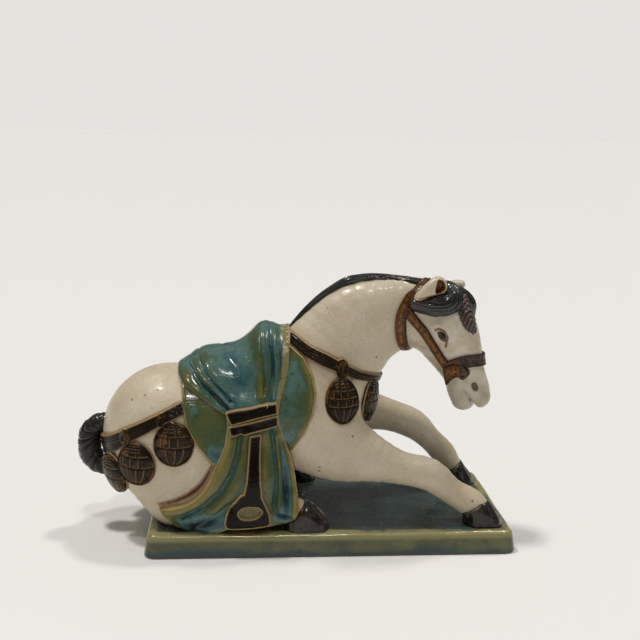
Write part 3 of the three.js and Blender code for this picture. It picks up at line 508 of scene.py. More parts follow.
trunk = limb([
    (-121, 0, 77, 51.5, 44), (-90, 0, 80, 50, 44), (-55, 0, 90, 46, 43),
    (-22, 0, 95, 42, 42), (-4, 0, 105.5, 34.4, 36),
])
thigh = limb([(-118, 28, 78, 37, 18), (-92, 34, 62, 30, 17), (-62, 38, 50, 24, 16)])
buttock = limb([(-130, 20, 64, 33, 22), (-121, 28, 44, 25, 20), (-114, 32, 32, 19, 16)])
shank = limb([(-62, 40, 46, 18, 14), (-98, 41, 38, 14, 12), (-118, 36, 30, 13, 12)])
cannon = limb([
    (-117, 36, 28, 12, 11), (-90, 44, 26, 9, 9), (-52, 46, 28, 9.5, 9),
    (-37, 47, 32, 9.8, 9.2), (-27, 48.4, 30, 9, 9),
])
underside = limb([(-124, 0, 34, 22, 38), (-92, 0, 36, 22, 40), (-62, 0, 40, 22, 40)])
neck = limb([
    (-12, 0, 119, 41.6, 32), (6, 0, 141.2, 38.3, 27), (22, -1, 158.5, 34.5, 22),
    (45, -2, 168.5, 29, 18.5), (64, -4, 169.5, 25.5, 16.5),
])
near_foreleg = limb([
    (-16, -24, 84, 33, 17), (5, -29, 72.8, 27.2, 15.8), (27, -33, 65.2, 18.8, 13.9),
    (52, -36, 57.6, 12.6, 11), (74, -38.5, 53, 12.4, 11), (90, -41, 41.2, 9.9, 9),
    (105, -43, 32.5, 10.8, 10), (112, -44, 26, 9.5, 9.5),
])
far_foreleg = limb([
    (5, 22, 98, 27, 16), (32, 28, 84, 17, 14), (54, 31, 77.5, 13, 12), (74, 34, 69, 12.3, 11.5),
    (88.5, 35.5, 56, 9.8, 9), (100.5, 37.5, 43.5, 10.3, 10), (108, 39, 33, 9, 9),
])
skull = limb(
    on_head([
        (-1.4, 0.4, 171, 23, 15.5), (10.3, 0.2, 159.5, 25.5, 16), (19, 0, 146, 21.5, 13.5),
        (26, 0, 132, 17, 11.2), (31.8, -0.1, 119, 15.2, 10.8), (33, -0.1, 115, 12, 9.6),
    ]),
    HEAD_SIDE,
)
chin = limb(on_head([(24, -0.5, 114, 7, 7), (28.5, -1.5, 108.5, 9, 8.5)]), HEAD_SIDE)
lip = limb(on_head([(37, -0.5, 116, 10, 9), (40.5, -1, 111.5, 8.8, 8.6)]), HEAD_SIDE)


def coat(x, y, z):
    """The bare horse as a distance: its limbs joined one after another by fillets."""
    m = np.abs(y)
    d = trunk(x, y, z)
    for part, across, k in (
        (thigh, m, 12), (buttock, m, 10), (shank, m, 8), (cannon, m, 5), (underside, y, 8),
        (neck, y, 14), (near_foreleg, y, 11), (far_foreleg, y, 9),
    ):
        d = blend(d, part(x, across, z), k)
    face = blend(skull(x, y, z), blend(chin(x, y, z), lip(x, y, z), 1), 5)
    return blend(d, face, 7)


def sampled(field, points, run=24000, side_by_side=4):
    """The field at many points, worked out in runs side by side."""
    points = points.astype(np.float32)
    runs = [points[i : i + run] for i in range(0, len(points), run)]
    with ThreadPoolExecutor(side_by_side) as hands:
        return np.concatenate(list(hands.map(lambda p: field(p[:, 0], p[:, 1], p[:, 2]), runs)))


def slope(field, points, step=0.25):
    """Value and gradient of a field at points, from the differences over a small step."""
    here = sampled(field, points)
    moved = [sampled(field, points + step * np.eye(3)[i]) for i in range(3)]
    return here, np.stack([(v - here) / step for v in moved], 1)


def skin_of(field, low, high, step):
    """Skin of the solid where the field is below nought: one point in each cell of a grid that the
    skin crosses, at the mean of the crossings on the cell's edges, joined by a face across each
    crossed edge. The points are then drawn onto the skin along the field's gradient, half a cell at
    most. The field is worked out only in blocks of 6 cells whose middle is near the skin: within
    0.87, half the diagonal of a cube of side 1, times the block's side, and 4 mm more."""
    low, high, h = np.array(low, float), np.array(high, float), step * FINE
    block = 6
    n = np.ceil((high - low) / (h * block)).astype(int)
    axes = [low[i] + (np.arange(n[i]) + 0.5) * block * h for i in range(3)]
    middle = np.stack(np.meshgrid(*axes, indexing="ij"), -1).reshape(-1, 3)
    near = np.abs(sampled(field, middle)) < 0.87 * block * h + 4
    size = n * block + 1
    known = np.zeros(size, bool)
    for i, j, k in np.argwhere(near.reshape(n)) * block:
        known[i : i + block + 1, j : j + block + 1, k : k + block + 1] = True
    wanted = np.flatnonzero(known)
    grid = np.full(size.prod(), np.nan, np.float32)
    grid[wanted] = sampled(field, low + np.stack(np.unravel_index(wanted, size), 1) * h)
    grid = grid.reshape(size)
    corners = [(a, b, c) for a in (0, 1) for b in (0, 1) for c in (0, 1)]
    shifted = [
        grid[a : size[0] - 1 + a, b : size[1] - 1 + b, c : size[2] - 1 + c] for a, b, c in corners
    ]
    below = sum((s < 0).astype(np.int8) for s in shifted)
    crossed = (below > 0) & (below < 8) & ~np.isnan(sum(shifted))
    cell = np.argwhere(crossed)
    number = np.full(crossed.shape, -1)
    number[crossed] = np.arange(len(cell))
    value = [s[crossed] for s in shifted]
    total = np.zeros((len(cell), 3))
    count = np.zeros(len(cell))
    for i in range(8):
        for j in range(i + 1, 8):
            a, b = np.array(corners[i]), np.array(corners[j])
            if np.abs(a - b).sum() != 1:
                continue
            cut = (value[i] < 0) != (value[j] < 0)
            t = np.where(cut, value[i] / np.where(cut, value[i] - value[j], 1), 0)
            total += cut[:, None] * (a + t[:, None] * (b - a))
            count += cut
    points = low + (cell + total / count[:, None]) * h
    faces = []
    for axis in range(3):
        u, v = (axis + 1) % 3, (axis + 2) % 3
        start = [slice(1, size[i] - 1) for i in range(3)]
        start[axis] = slice(0, size[axis] - 1)
        end = list(start)
        end[axis] = slice(1, size[axis])
        a, b = grid[tuple(start)], grid[tuple(end)]
        cut = ((a < 0) != (b < 0)) & ~np.isnan(a + b)
        base = np.argwhere(cut)
        base[:, [u, v]] += 1
        ring = []
        for du, dv in ((0, 0), (1, 0), (1, 1), (0, 1)):
            c = base.copy()
            c[:, u] -= du
            c[:, v] -= dv
            ring.append(number[c[:, 0], c[:, 1], c[:, 2]])
        ring = np.stack(ring, 1)
        outside = a[cut] >= 0
        ring[outside] = ring[outside][:, ::-1]
        faces.append(ring[(ring >= 0).all(1)])
    for _ in range(2):
        here, g = slope(field, points)
        move = -here[:, None] * g / np.maximum((g * g).sum(1), 0.2)[:, None]
        length = np.linalg.norm(move, axis=1, keepdims=True)
        points += move * np.minimum(1, 0.5 * h / np.maximum(length, 1e-9))
    return points, np.concatenate(faces)


def hollow(field, points, out=5.0):
    """How deep a point sits in a hollow, 0 to 1: what the way straight out lacks in clearance."""
    _, g = slope(field, points)
    n = g / np.maximum(np.linalg.norm(g, axis=1, keepdims=True), 1e-6)
    return np.clip(1 - sampled(field, points + n * out) / out, 0, 1)


THROAT_STRAP = [
    (-5, 197, 2.4), (-6.6, 192.4, 2.6), (-11.5, 185.9, 2.9), (-13.8, 179, 3),
    (-15.4, 170.9, 3.3), (-15.5, 162.7, 3.4), (-15.4, 154.9, 3.2), (-15.2, 143.5, 2.4),
]
HEAD_FOOT = 97


def head_part(x, y, z):
    """Below nought on the head's side of the throat strap, where head and body are parted."""
    strap = np.array(THROAT_STRAP)[::-1]
    return np.maximum(np.interp(z, strap[:, 1], strap[:, 0]) - head_forward(x, y), HEAD_FOOT - z)


def body_solid(x, y, z):
    """The coat on the body's side of the throat strap, cut off level at the soles."""
    return np.maximum(np.maximum(coat(x, y, z), -head_part(x, y, z)), SOLE - z)


def inside(u, v, outline):
    """Distance in the side view to a closed outline, below nought inside it: the nearest edge's
    distance, with its sign turned once for each edge that a level line crosses."""
    d = np.full(u.shape, FAR * FAR, np.float32)
    s = np.ones(u.shape, np.float32)
    for (ax, az), (bx, bz) in zip(outline, outline[-1:] + outline[:-1]):
        ex, ez = bx - ax, bz - az
        wx, wz = u - ax, v - az
        t = np.clip((wx * ex + wz * ez) / (ex * ex + ez * ez), 0, 1)
        d = np.minimum(d, (wx - ex * t) ** 2 + (wz - ez * t) ** 2)
        c1, c2, c3 = v >= az, v < bz, ex * wz > ez * wx
        s = np.where((c1 & c2 & c3) | ~(c1 | c2 | c3), -s, s)
    return s * np.sqrt(d)


def rounded(outline, steps=4):
    """A closed outline with its corners drawn into one smooth line by the Catmull-Rom formula."""
    rows = np.array(outline[-1:] + outline + outline[:2], float)
    smooth = course(rows, steps)[steps : steps * (len(outline) + 1)]
    return [(float(a), float(b)) for a, b in smooth]


def loaf(edge, deep, off, wide):
    """Distance to a body that swells from its outline in the side view: full at `deep` inside it,
    `wide` to either side of its middle plane, by the radius of the two shares less one."""
    return (np.hypot(np.maximum(edge + deep, 0) / deep, off / wide) - 1) * min(deep, wide)


def ribbon(u, v, line):
    """Distance in the side view to a bent line, less its half width there."""
    d = np.full(u.shape, FAR, np.float32)
    for (ax, az, aw), (bx, bz, bw) in zip(line[:-1], line[1:]):
        ex, ez = bx - ax, bz - az
        t = np.clip(((u - ax) * ex + (v - az) * ez) / (ex * ex + ez * ez), 0, 1)
        d = np.minimum(d, np.hypot(u - ax - ex * t, v - az - ez * t) - (aw + t * (bw - aw)))
    return d


# Pendants and straps leave a tan halo where their glaze met the white, so their places come first.
# Each pendant: middle, half width, half height, the way it faces. The far side repeats the near.
PENDANTS = [
    ((-116, -47.6, 80.8), 14.2, 16, (-0.1, -1, 0.06)),
    ((-143.4, -43, 64.8), 14.6, 16.2, (-0.4, -0.92, -0.05)),
    ((-161.2, -28, 52.4), 13.4, 16, (-0.74, -0.62, -0.27)),
    ((6.6, -37, 110.2), 12.6, 16.8, (0.22, -0.95, 0.2)),
    ((30.6, -15, 104.5), 12.4, 17, (0.88, -0.46, -0.12)),
]
PENDANT_PROUD = 5
TIE_LEVEL = 104
CRUPPER = [
    (-105, 109, 4.2), (-110.4, 106.4, 4.2), (-125.7, 98.8, 4.1),
    (-138, 92, 4.5), (-150.8, 84.6, 5), (-170, 71, 6), (-180, 63, 7),
]
BREAST = [
    (-30, 153, 4), (-19.5, 145.5, 4.5), (-6, 139.5, 4.7),
    (6, 134, 4), (19, 127.5, 3.4), (39, 120.5, 3),
]
FLAP = [
    (-111, 128), (-110.8, 119), (-110, 108.5), (-106.9, 94), (-99.7, 81.3), (-89.7, 69), (-72, 60),
    (-45, 62), (-30.3, 74.3), (-21.7, 87.6), (-15.4, 102.7), (-13.5, 116.8), (-16.1, 130.4),
    (-21.8, 141), (-31.2, 148.5), (-34, 170), (-110, 170),
]
CLOTH_HANGING = [
    (-76, 104), (-41.5, 112), (-39.8, 96), (-36.3, 84.6), (-31, 71.4), (-27.9, 57.9), (-25.8, 44.4),
    (-25.4, 32.4), (-28, 27), (-34.2, 23), (-46, 21.4), (-60.7, 20.5), (-77, 20), (-84, 16.9),
    (-95, 10), (-104, 10), (-114, 19), (-124.6, 29), (-126.4, 33.2), (-121, 34.4), (-115.5, 35.6),
    (-110.2, 37.2), (-105.4, 39.4), (-100.6, 42.6), (-96.2, 46.6), (-92.6, 51.6), (-89.8, 57),
    (-86.6, 65),
    (-82.7, 73.4), (-79.6, 81),
]


def facing(face):
    """Three directions for a pendant: across it, up it, and out of it."""
    n = np.array(face, float) / np.linalg.norm(face)
    rise = np.array([0, 0, 1]) - n * n[2]
    rise /= np.linalg.norm(rise)
    return np.cross(rise, n), rise, n


def egg(middle, wide, high, thick, face):
    """Distance to an egg-shaped body by the k0 (k0 - 1) / k1 rule for its three half sizes."""
    axes = facing(face)

    def distance(x, y, z):
        p = np.stack([x - middle[0], y - middle[1], z - middle[2]])
        a, b, c = (sum(float(axis[i]) * p[i] for i in range(3)) for axis in axes)
        k0 = np.sqrt((a / wide) ** 2 + (b / high) ** 2 + (c / thick) ** 2)
        k1 = np.sqrt((a / wide**2) ** 2 + (b / high**2) ** 2 + (c / thick**2) ** 2) + 1e-9
        return k0 * (k0 - 1) / k1

    return distance


eggs = [egg(c, w, h, PENDANT_PROUD, face) for c, w, h, face in PENDANTS]


# Along the rear border of the hanging cloth brown glaze has gathered on the coat; the dark middle
# of the line is painted shade under the cloth's border.
CREASE = [
    (-87, 68.6, 0.2), (-89.6, 63, 0.7), (-92.6, 57, 1.0), (-95.7, 52, 1.1), (-99.5, 48, 1.1),
    (-106, 43, 1.1), (-115, 38.9, 1.0), (-121, 37, 0.7), (-127, 35.4, 0.3),
]


def near_dress(points):
    """Distance from points of the coat to the nearest strap, pendant, flap or cloth border. The
    straps count only where they lie bare, and the hanging cloth only below the tie bands."""
    x, y, z = points.T
    m = -np.abs(y)
    d = np.minimum(ribbon(x, z, CRUPPER), ribbon(x, z, BREAST))
    d[(x > -90) & (x < -35) | (x > 60)] = FAR
    for shape in eggs:
        d = np.minimum(d, shape(x, m, z))
    d = np.minimum(d, inside(x, z, FLAP))
    return np.minimum(d, np.where(z < TIE_LEVEL, inside(x, z, CLOTH_HANGING), FAR))


def coat_paint(b):
    """Cream to off-white in slow clouds, beige-brown painted shade in hollows and at joins, a tan
    line beside the dress, a brown one along the hanging cloth whose dark middle is painted shade,
    and iron specks in clusters."""
    small = b.cloud(75)
    b.base = b.mix(b.cloud(17, 0.25), (228, 217, 196), (192, 178, 153))
    b.lay(b.times(small, 0.45), (218, 199, 162))
    b.lay(b.times(b.cloud(420, 0.2), 0.16), (168, 150, 122))
    # Painted shade: beige-brown laid over the coat where it sits deep in a hollow.
    b.lay(b.fade(b.mark("hollow"), 0.25, 0.95, 0.0, 0.85), (124, 102, 78))
    beside = b.plus(b.mark("beside"), b.times(small, 1.1))
    b.lay(b.fade(beside, 1.0, 2.1, 0.7, 0.0), (160, 126, 84))
    # Along the crease, a brown glaze line whose dark middle is painted shade under the cloth's
    # border.
    crease = b.plus(b.mark("crease"), b.times(b.cloud(260), 0.12))
    b.lay(b.fade(crease, 0.1, 0.38, 0.0, 0.85), (154, 106, 44))
    b.lay(b.fade(crease, 0.42, 0.72), (62, 36, 8))
    b.lay(b.times(b.specks(210, 0.03), 0.7), (84, 68, 52))
    spread = b.plus(b.times(b.cloud(34, 0.1), 0.75), 0.08)
    b.lay(b.times(b.specks(620, 0.16), spread), (88, 74, 56))


points, quads = skin_of(body_solid, (-176, -67, 14), (127, 67, 200), step=1.42)
on_flank = np.abs(points[:, 1]) > 22
crease = np.clip(0.5 - ribbon(points[:, 0], points[:, 2], CREASE) / 3.4, 0, 1) * on_flank
piece(
    "horse_body", points, quads,
    glaze("white_coat_glaze", coat_paint, (0.26, 0.48), 0.2, 1.0, 0.18, film=0.14),
    marks={"hollow": hollow(coat, points), "beside": near_dress(points), "crease": crease},
)


# The head is the end of the same casting, turned towards the near side: long flat cheek, full jaw,
# soft muzzle with the mouth cut as a groove, sunk nostrils, and brows modelled over the eyes.
MOUTH = [(40.4, 99, 5), (38.7, 104.5, 2.2), (37.3, 109.6, 0.7), (35, 113.4, 0.3), (31, 118, 0.1)]
BROW = ((7, 13.4, 163.5, 1.8, 2.2), (12.5, 13.2, 165, 2.2, 2.4), (18.5, 11.5, 161, 1.6, 2))
NOSTRIL = ((39.2, 9.9, 122.2, 1.8, 2.1), (40.2, 9.6, 119.8, 1.8, 2.1))
brows, nostrils = (
    [limb(on_head([(f, s * off, *rest) for f, off, *rest in rows]), HEAD_SIDE) for s in (-1, 1)]
    for rows in (BROW, NOSTRIL)
)
NO_DRESS = 50.0


def head_skin(x, y, z):
    """The coat with brows added, and nostrils and mouth cut in: the mouth 0.9 mm deep at its
    corner and 4 mm more towards the lips."""
    d = coat(x, y, z)
    f = head_forward(x, y)
    bare = d
    for brow in brows:
        d = blend(d, brow(x, y, z), 3)
    for nostril in nostrils:
        d = trim(d, -nostril(x, y, z), 1.4)
    deep = 0.9 + np.clip((112 - z) / 3, 0, 1) * 4
    return trim(d, -trim(ribbon(f, z, MOUTH), -bare - deep, 1), 2)


def head_solid(x, y, z):
    """The head's skin on the head's side of the throat strap."""
    return np.maximum(head_skin(x, y, z), head_part(x, y, z))


EYE_LIDS = [(9, 161.8, 0.3), (11.9, 163.1, 0.4), (15.6, 161.7, 0.4), (18.2, 157.3, 0.35)]
EYE_TEAR = [(18.2, 157.3, 0.35), (18, 153.6, 0.35), (17.3, 149.8, 0.2)]


def face_paint(b):
    """The coat's white, with painted shade greying the lower head, and brown glaze brushed in the
    lids' lines, the nostrils and the mouth.
    """
    coat_paint(b)
    broad = b.cloud(52, 0.22)
    b.lay(b.fade(broad, 0.45, 0.95, 0.0, 0.5), (236, 230, 218))
    b.lay(b.fade(broad, 0.05, 0.42, 0.4, 0.0), (168, 150, 124))
    # Painted shade: the head is greyed below 128 mm, most at the chin and lips.
    b.lay(b.fade(b.at(2), 0.106, 0.128, 0.55, 0.0), (160, 152, 138))
    b.lay(b.mark("pit"), (104, 82, 48))
    b.lay(b.mark("brush"), (104, 68, 42))


points, quads = skin_of(head_solid, (50, -60, 96), (126, 30, 200), step=0.82)
x, y, z = points.T
f = head_forward(x, y)
lids = np.minimum(ribbon(f, z, EYE_LIDS), ribbon(f, z, EYE_TEAR))
pits = np.minimum(*(n(*points.T) for n in nostrils))
groove = np.where(np.abs(head_side(x, y)) > 2, ribbon(f, z, MOUTH), FAR)
brush = np.maximum(np.clip(1.35 - lids / 0.75, 0, 1), np.clip(0.75 - groove / 0.7, 0, 1) * 0.25)
pit = np.clip(1 - pits / 0.8, 0, 1) * np.interp(z, [118, 123], [0.7, 1])
piece(
    "horse_head", points, quads,
    glaze("white_face_glaze", face_paint, (0.2, 0.42), 0.2, 0.8, 0.3, film=0.14),
    marks={"hollow": hollow(head_skin, points, 3.5), "beside": np.full(len(points), NO_DRESS),
           "brush": brush, "pit": pit},
)


# The ears are small cupped leaves pressed from white clay and set forward; inside they are brown.
# They are luted to the poll, their roots sunk up to 3 mm into the head.
NEAR_EAR = rounded([
    (59.4, 187.6), (63, 192), (67.7, 196.8), (72, 200), (76, 201.8), (80.1, 200.8), (83, 198),
    (84.2, 194.2), (83.6, 191), (80.6, 188.6), (76, 187.4), (70, 186), (64.4, 184.2), (59.6, 184.2),
])
NEAR_CUP = rounded([
    (75.7, 200), (80.2, 199.2), (82.3, 195.6), (82.3, 192.5), (79.8, 189.8), (76.3, 188.6),
    (73.5, 190.3), (74, 195.4),
])
NEAR_EAR_AT = -23.5
EAR_SEAM = [(62, 185.8, 0.2), (72, 187.4, 0.6), (79, 189, 0.3)]


def near_ear(x, y, z):
    """The leaf swells to 5.4 mm each way of its middle plane, which leans back a little."""
    return loaf(inside(x, z, NEAR_EAR), 6, y - NEAR_EAR_AT - 0.16 * (x - 72), 5.4)


def near_cup(x, y, z):
    """The cup is sunk from the near side to just past the leaf's middle plane."""
    off = y - NEAR_EAR_AT - 0.16 * (x - 72)
    beyond = np.minimum(off + 6, 0) + np.maximum(off + 1, 0)
    return loaf(inside(x, z, NEAR_CUP) + 1.1, 2.4, beyond, 3.2)


far_ear = limb(
    on_head([(8, 12.8, 187.4, 4, 4), (13, 13.4, 190.8, 5, 4.6), (18, 13.4, 192.8, 3.4, 3.4)]),
    HEAD_SIDE,
)
far_cup = limb(on_head([(11.5, 18.5, 189, 2.6, 3), (17.4, 18, 192, 3, 3.4)]), HEAD_SIDE)


def ear_paint(b):
    """White like the coat; the cup is filled in by brown glaze that thins to orange at its lip."""
    coat_paint(b)
    cup = b.mark("cup")
    b.lay(b.fade(cup, 0.2, 0.5), (190, 150, 108))
    b.lay(b.fade(cup, 0.45, 0.8), (142, 92, 50))
    inner = b.times(b.fade(cup, 0.6, 0.95), b.fade(b.at(0), 0.0765, 0.0815, 0.6, 0.05))
    b.lay(inner, (66, 38, 20))


ear_glaze = glaze("white_ear_glaze", ear_paint, (0.2, 0.4), 0.2, 0.6, 0.2, film=0.14)
for name, ear, cup, low, high in (
    ("near_ear", near_ear, near_cup, (52, -42, 178), (92, -8, 206)),
    ("far_ear", far_ear, far_cup, (70, -12, 178), (106, 18, 202)),
):

    def ear_solid(x, y, z):
        leaf = trim(ear(x, y, z), -cup(x, y, z), 1.2)
        return np.maximum(leaf, -(coat(x, y, z) + 3))

    points, quads = skin_of(ear_solid, low, high, step=0.5)
    depth = np.clip(1 - cup(*points.T) / 1.6, 0, 1)
    # Painted shade where the ear's root meets the head, through the coat's hollow mark.
    root = np.clip(1 - (coat(*points.T) - 0.5) / 2, 0, 1) * 0.4
    seam = ribbon(points[:, 0], points[:, 2], EAR_SEAM)
    depth = np.maximum(depth, np.clip(1 - seam, 0, 1) * 0.7 * (name == "near_ear"))
    piece(name, points, quads, ear_glaze,
          marks={"cup": depth, "hollow": root, "beside": np.full(len(points), NO_DRESS)})


# The eyes are low almond beads under the lids, glazed a greyish brown with a dark middle.
def eye_paint(b):
    """Grey-brown, darkest in the middle of the bead, lighter where the glaze runs off its edge."""
    pupil = b.mark("pupil")
    b.base = b.mix(b.fade(pupil, 0.1, 0.6), (104, 76, 50), (62, 48, 34))
    b.lay(b.fade(pupil, 0.4, 0.8), (34, 27, 21))


EYE_OFF = 13.6
eye_glaze = glaze("eye_glaze", eye_paint, (0.08, 0.14), 0.2, 0.3, 0.05, mirror=0.3)
EYE = rounded([
    (9.8, 160.6), (12.6, 162), (15.6, 160.9), (17.6, 157.4), (17.5, 153.6), (14.8, 153.4),
    (11.4, 156),
])
for name, s in (("near_eye", -1), ("far_eye", 1)):

    def bead(x, y, z):
        edge = inside(head_forward(x, y), z, EYE)
        return loaf(edge, 2.2, head_side(x, y) - s * EYE_OFF, 3)

    place = on_head([(14, s * 13.4, 157.6)])[0]
    points, quads = skin_of(bead, place - 8, place + 8, step=0.35)
    x, y, z = points.T
    middle = np.hypot(head_forward(x, y) - 14.6, z - 158.2)
    piece(name, points, quads, eye_glaze, marks={"pupil": np.clip(1 - (middle - 0.6) / 3.4, 0, 1)})


# The mane is a rolled and clipped crest of clay laid along the neck, in dark grey glaze with the
# strands drawn through it lengthwise. It is a roll: an oval carried along a smooth line.
CAP_RINGS = 6


def roll(rows, side, along, around, relief):
    """A roll along a line: at angle a the point is the line's point plus cos a half depths and
    sin a half widths to the side, each times 1 + relief, the ends drawn in as quarter rounds.
    The relief is a function of the length along the line in mm and of the angle."""
    line = course(rows, 12)
    s = np.append(0, np.cumsum(np.linalg.norm(np.diff(line[:, :3], axis=0), axis=1)))
    at = np.linspace(0, s[-1], along)
    row = np.stack([np.interp(at, s, line[:, i]) for i in range(5)], 1)
    t = np.gradient(row[:, :3], axis=0)
    t /= np.linalg.norm(t, axis=1, keepdims=True)
    quarter = np.linspace(0, math.pi / 2, CAP_RINGS + 2)[1:-1]
    head = row[:1] * np.ones((CAP_RINGS, 1))
    foot = row[-1:] * np.ones((CAP_RINGS, 1))
    head[:, :3] -= t[0] * head[:, 3:4] * np.sin(quarter)[:, None]
    foot[:, :3] += t[-1] * foot[:, 3:4] * np.sin(quarter)[:, None]
    row = np.vstack([head[::-1], row, foot])
    t = np.vstack([t[:1]] * CAP_RINGS + [t] + [t[-1:]] * CAP_RINGS)
    small = np.concatenate([np.cos(quarter)[::-1], np.ones(along), np.cos(quarter)])
    at = np.concatenate([np.zeros(CAP_RINGS), at, np.full(CAP_RINGS, s[-1])])
    w = np.array(side) - (t @ np.array(side))[:, None] * t
    w /= np.linalg.norm(w, axis=1, keepdims=True)
    v = np.cross(t, w)
    a = np.linspace(0, 2 * math.pi, around, endpoint=False)
    size = small[:, None] * (1 + relief(at[:, None], a[None]) * small[:, None] ** 2)
    deep = (row[:, 3:4] * size)[..., None] * np.cos(a)[None, :, None] * v[:, None]
    wide = (row[:, 4:5] * size)[..., None] * np.sin(a)[None, :, None] * w[:, None]
    return row[:, None, :3] + deep + wide, at, a


def hair_paint(b):
    """Slate grey to black, with the dark settled between the strands, a pale painted highlight on
    each strand's crest, and thin brown ends.
    """
    strand = b.mark("strand")
    b.base = b.mix(b.cloud(60), (30, 33, 33), (48, 51, 49))
    b.sink(b.fade(strand, 0.35, 0.9), (13, 14, 14))
    # Painted highlight: a pale line along the crest of each strand.
    b.lay(b.fade(strand, 0.92, 1.0, 0.0, 0.35), (110, 106, 98))
    b.lay(b.fade(b.mark("tip"), 0.8, 1.0, 0.0, 0.35), (84, 62, 48))


hair_glaze = glaze("slate_hair_glaze", hair_paint, (0.1, 0.24), 0.35, 0.5, 0.1, mirror=0.45)


def lock(name, rows, side, along, around, strands, twist, high, slant=0.0, material=hair_glaze):
    """A roll of hair: the relief is a wave of so many strands round it that turns by `twist`
    radians for each millimetre, or a chevron of strands that slant back from its middle line; two
    slower waves push the strands about, and a third makes clumps that stand out more."""

    def relief(s, a):
        stray = 0.9 * np.sin(2 * a + 0.11 * s) + 0.6 * np.sin(5 * a - 0.19 * s + 1)
        phase = strands * (a + twist * s) + stray + slant * (s - 3.2 * np.abs(np.sin(a)))
        clump = high * (1 + 0.5 * np.sin(3 * a + 0.15 * s))
        fine = 0.3 * high * np.sin(2.6 * phase + 1)
        return clump * (np.abs(np.cos(phase / 2)) ** 0.7 - 0.7) + fine

    grid, s, a = roll(rows, side, along, around, relief)
    points, quads = wrapped(grid)
    value = np.clip(relief(s[:, None], a[None]) / high + 0.7, 0, 1)
    tip = np.clip(s / s[-1], 0, 1)[:, None] * np.ones_like(a)
    piece(name, points, quads, material, marks={"strand": ends_too(value), "tip": ends_too(tip)})


lock(
    "mane",
    [(-30.4, 0, 157.8, 1.8, 3.2), (-19.5, 0, 171, 1.9, 3.6), (-9.6, 0, 180.4, 2.2, 4),
     (0.4, 0, 187.3, 2.7, 4.4), (11.2, -0.5, 193.6, 3.1, 4.4), (21.8, -1, 196.2, 3.1, 4.4),
     (34.2, -1.6, 197, 3.1, 4.6), (53.2, -3.4, 195.6, 3.2, 5), (70, -7, 193, 3.9, 6)],
    (0, 1, 0), 230, 54, 9, 0.01, 0.14,
)
lock(
    "near_forelock",
    on_head([(4, 2, 191, 5.4, 8), (13.4, -1, 190.4, 6, 9), (18.4, -6, 185, 7.4, 7.5),
             (16, -10.5, 181, 8, 6), (8, -14.5, 179.3, 7.5, 5), (1, -17.5, 179.4, 6.2, 4.4),
             (-6.4, -18.5, 180.2, 5.4, 3.6)]),
    HEAD_SIDE, 140, 104, 15, 0.014, 0.1,
)
lock(
    "far_forelock",
    on_head([(14, 4, 188.6, 5.5, 7), (22, 7, 185.4, 5, 6), (27.8, 8, 179.6, 4.2, 5),
             (29.4, 8, 172.6, 2.6, 3.4)]),
    HEAD_SIDE, 90, 90, 12, 0.02, 0.1,
)


# The tassel is a plait that hangs down the forehead from between the locks, thicker in the middle
# and pointed below; its strands cross in chevrons. It is glazed a reddish brown.
def plait_paint(b):
    """Reddish brown, darkest between the strands, with grey laid on the strands' crests as a
    painted highlight.
    """
    strand = b.mark("strand")
    b.base = b.mix(b.cloud(110), (92, 66, 56), (66, 52, 46))
    b.sink(b.fade(strand, 0.3, 0.8), (34, 24, 22))
    # Painted highlight: grey along the crest of each strand.
    b.lay(b.fade(strand, 0.9, 1.0, 0.0, 0.45), (140, 122, 108))


lock(
    "forehead_plait",
    on_head([(24.2, 0.4, 185.6, 2.8, 3.4), (26.4, -3.4, 180.6, 3.6, 5), (29, -5.6, 174.2, 4.1, 6.1),
             (31.8, -6, 167.8, 3.8, 5.8), (34.4, -4.8, 161.6, 2.4, 3.4)]),
    (0.891, 0.444, 0), 150, 72, 2, 0.0, 0.19, 1.7,
    glaze("plait_glaze", plait_paint, (0.16, 0.32), 0.2, 0.5, 0.1, mirror=0.4),
)


# The bridle is modelled in relief on the head: cheek strap, nose strap, throat strap and a scrolled
# bit cheek, in amber glaze that turns dark brown where it lies thick.
CHEEK_STRAP = [
    (-12, 175.5, 3.3), (-9.5, 171.9, 3.3), (-4.6, 165.7, 3.4), (0.6, 159.5, 3.5), (4.7, 153.3, 3.5),
    (8.7, 147.2, 3.5), (12.8, 141, 3.5), (17.5, 134.6, 3.6),
]
NOSE_STRAP = [
    (18.5, 134.8, 3.4), (25, 137.4, 4), (29.4, 138.8, 4.5), (34.1, 139.9, 4.7), (38.1, 140.4, 4.7),
    (46, 140.6, 4.4),
]
BIT_CHEEK = rounded([
    (15.4, 132), (18.1, 134.3), (22.8, 136.6), (28, 136.7), (33, 135.2), (35.4, 131.7),
    (34.4, 128.7),
    (30.8, 125.6), (27, 127.4), (21.3, 123.5), (17.2, 119.1),
])
# Two lines are scored in each strap, this far to either side of a line this far in from its edge.
SCORE_APART = 0.9
SCORE_IN = 2.9
SCORE_DEEP = 0.45
STRAP_THICK = 2.2
BURIED = 1.3


def bell(off, wide):
    """A bell curve, 1 in the middle: exp of minus the square of `off` over `wide`."""
    return np.exp(-((off / wide) ** 2))


def amber_paint(b):
    """Amber with orange clouds, a brown line along each edge and in the scored lines."""
    fine = b.cloud(300, 0.12)
    b.base = b.mix(fine, (178, 114, 34), (80, 46, 16))
    b.lay(b.times(b.cloud(80, 0.25), 0.55), (70, 36, 14))
    edge = b.plus(b.mark("edge"), b.times(fine, 0.9))
    b.lay(b.fade(edge, 0.9, 2.4, 0.75, 0.0), (74, 38, 14))
    b.lay(b.times(b.mark("dark"), 1.15), b.mix(fine, (84, 76, 64), (38, 33, 28)))
    b.lay(b.fade(edge, 0.6, 1.2, 0.9, 0.0), (42, 20, 10))
    b.lay(b.mark("scored"), (50, 30, 20))


amber_glaze = glaze("amber_strap_glaze", amber_paint, (0.16, 0.34), 0.12, 0.7, 0.4, mirror=0.22)


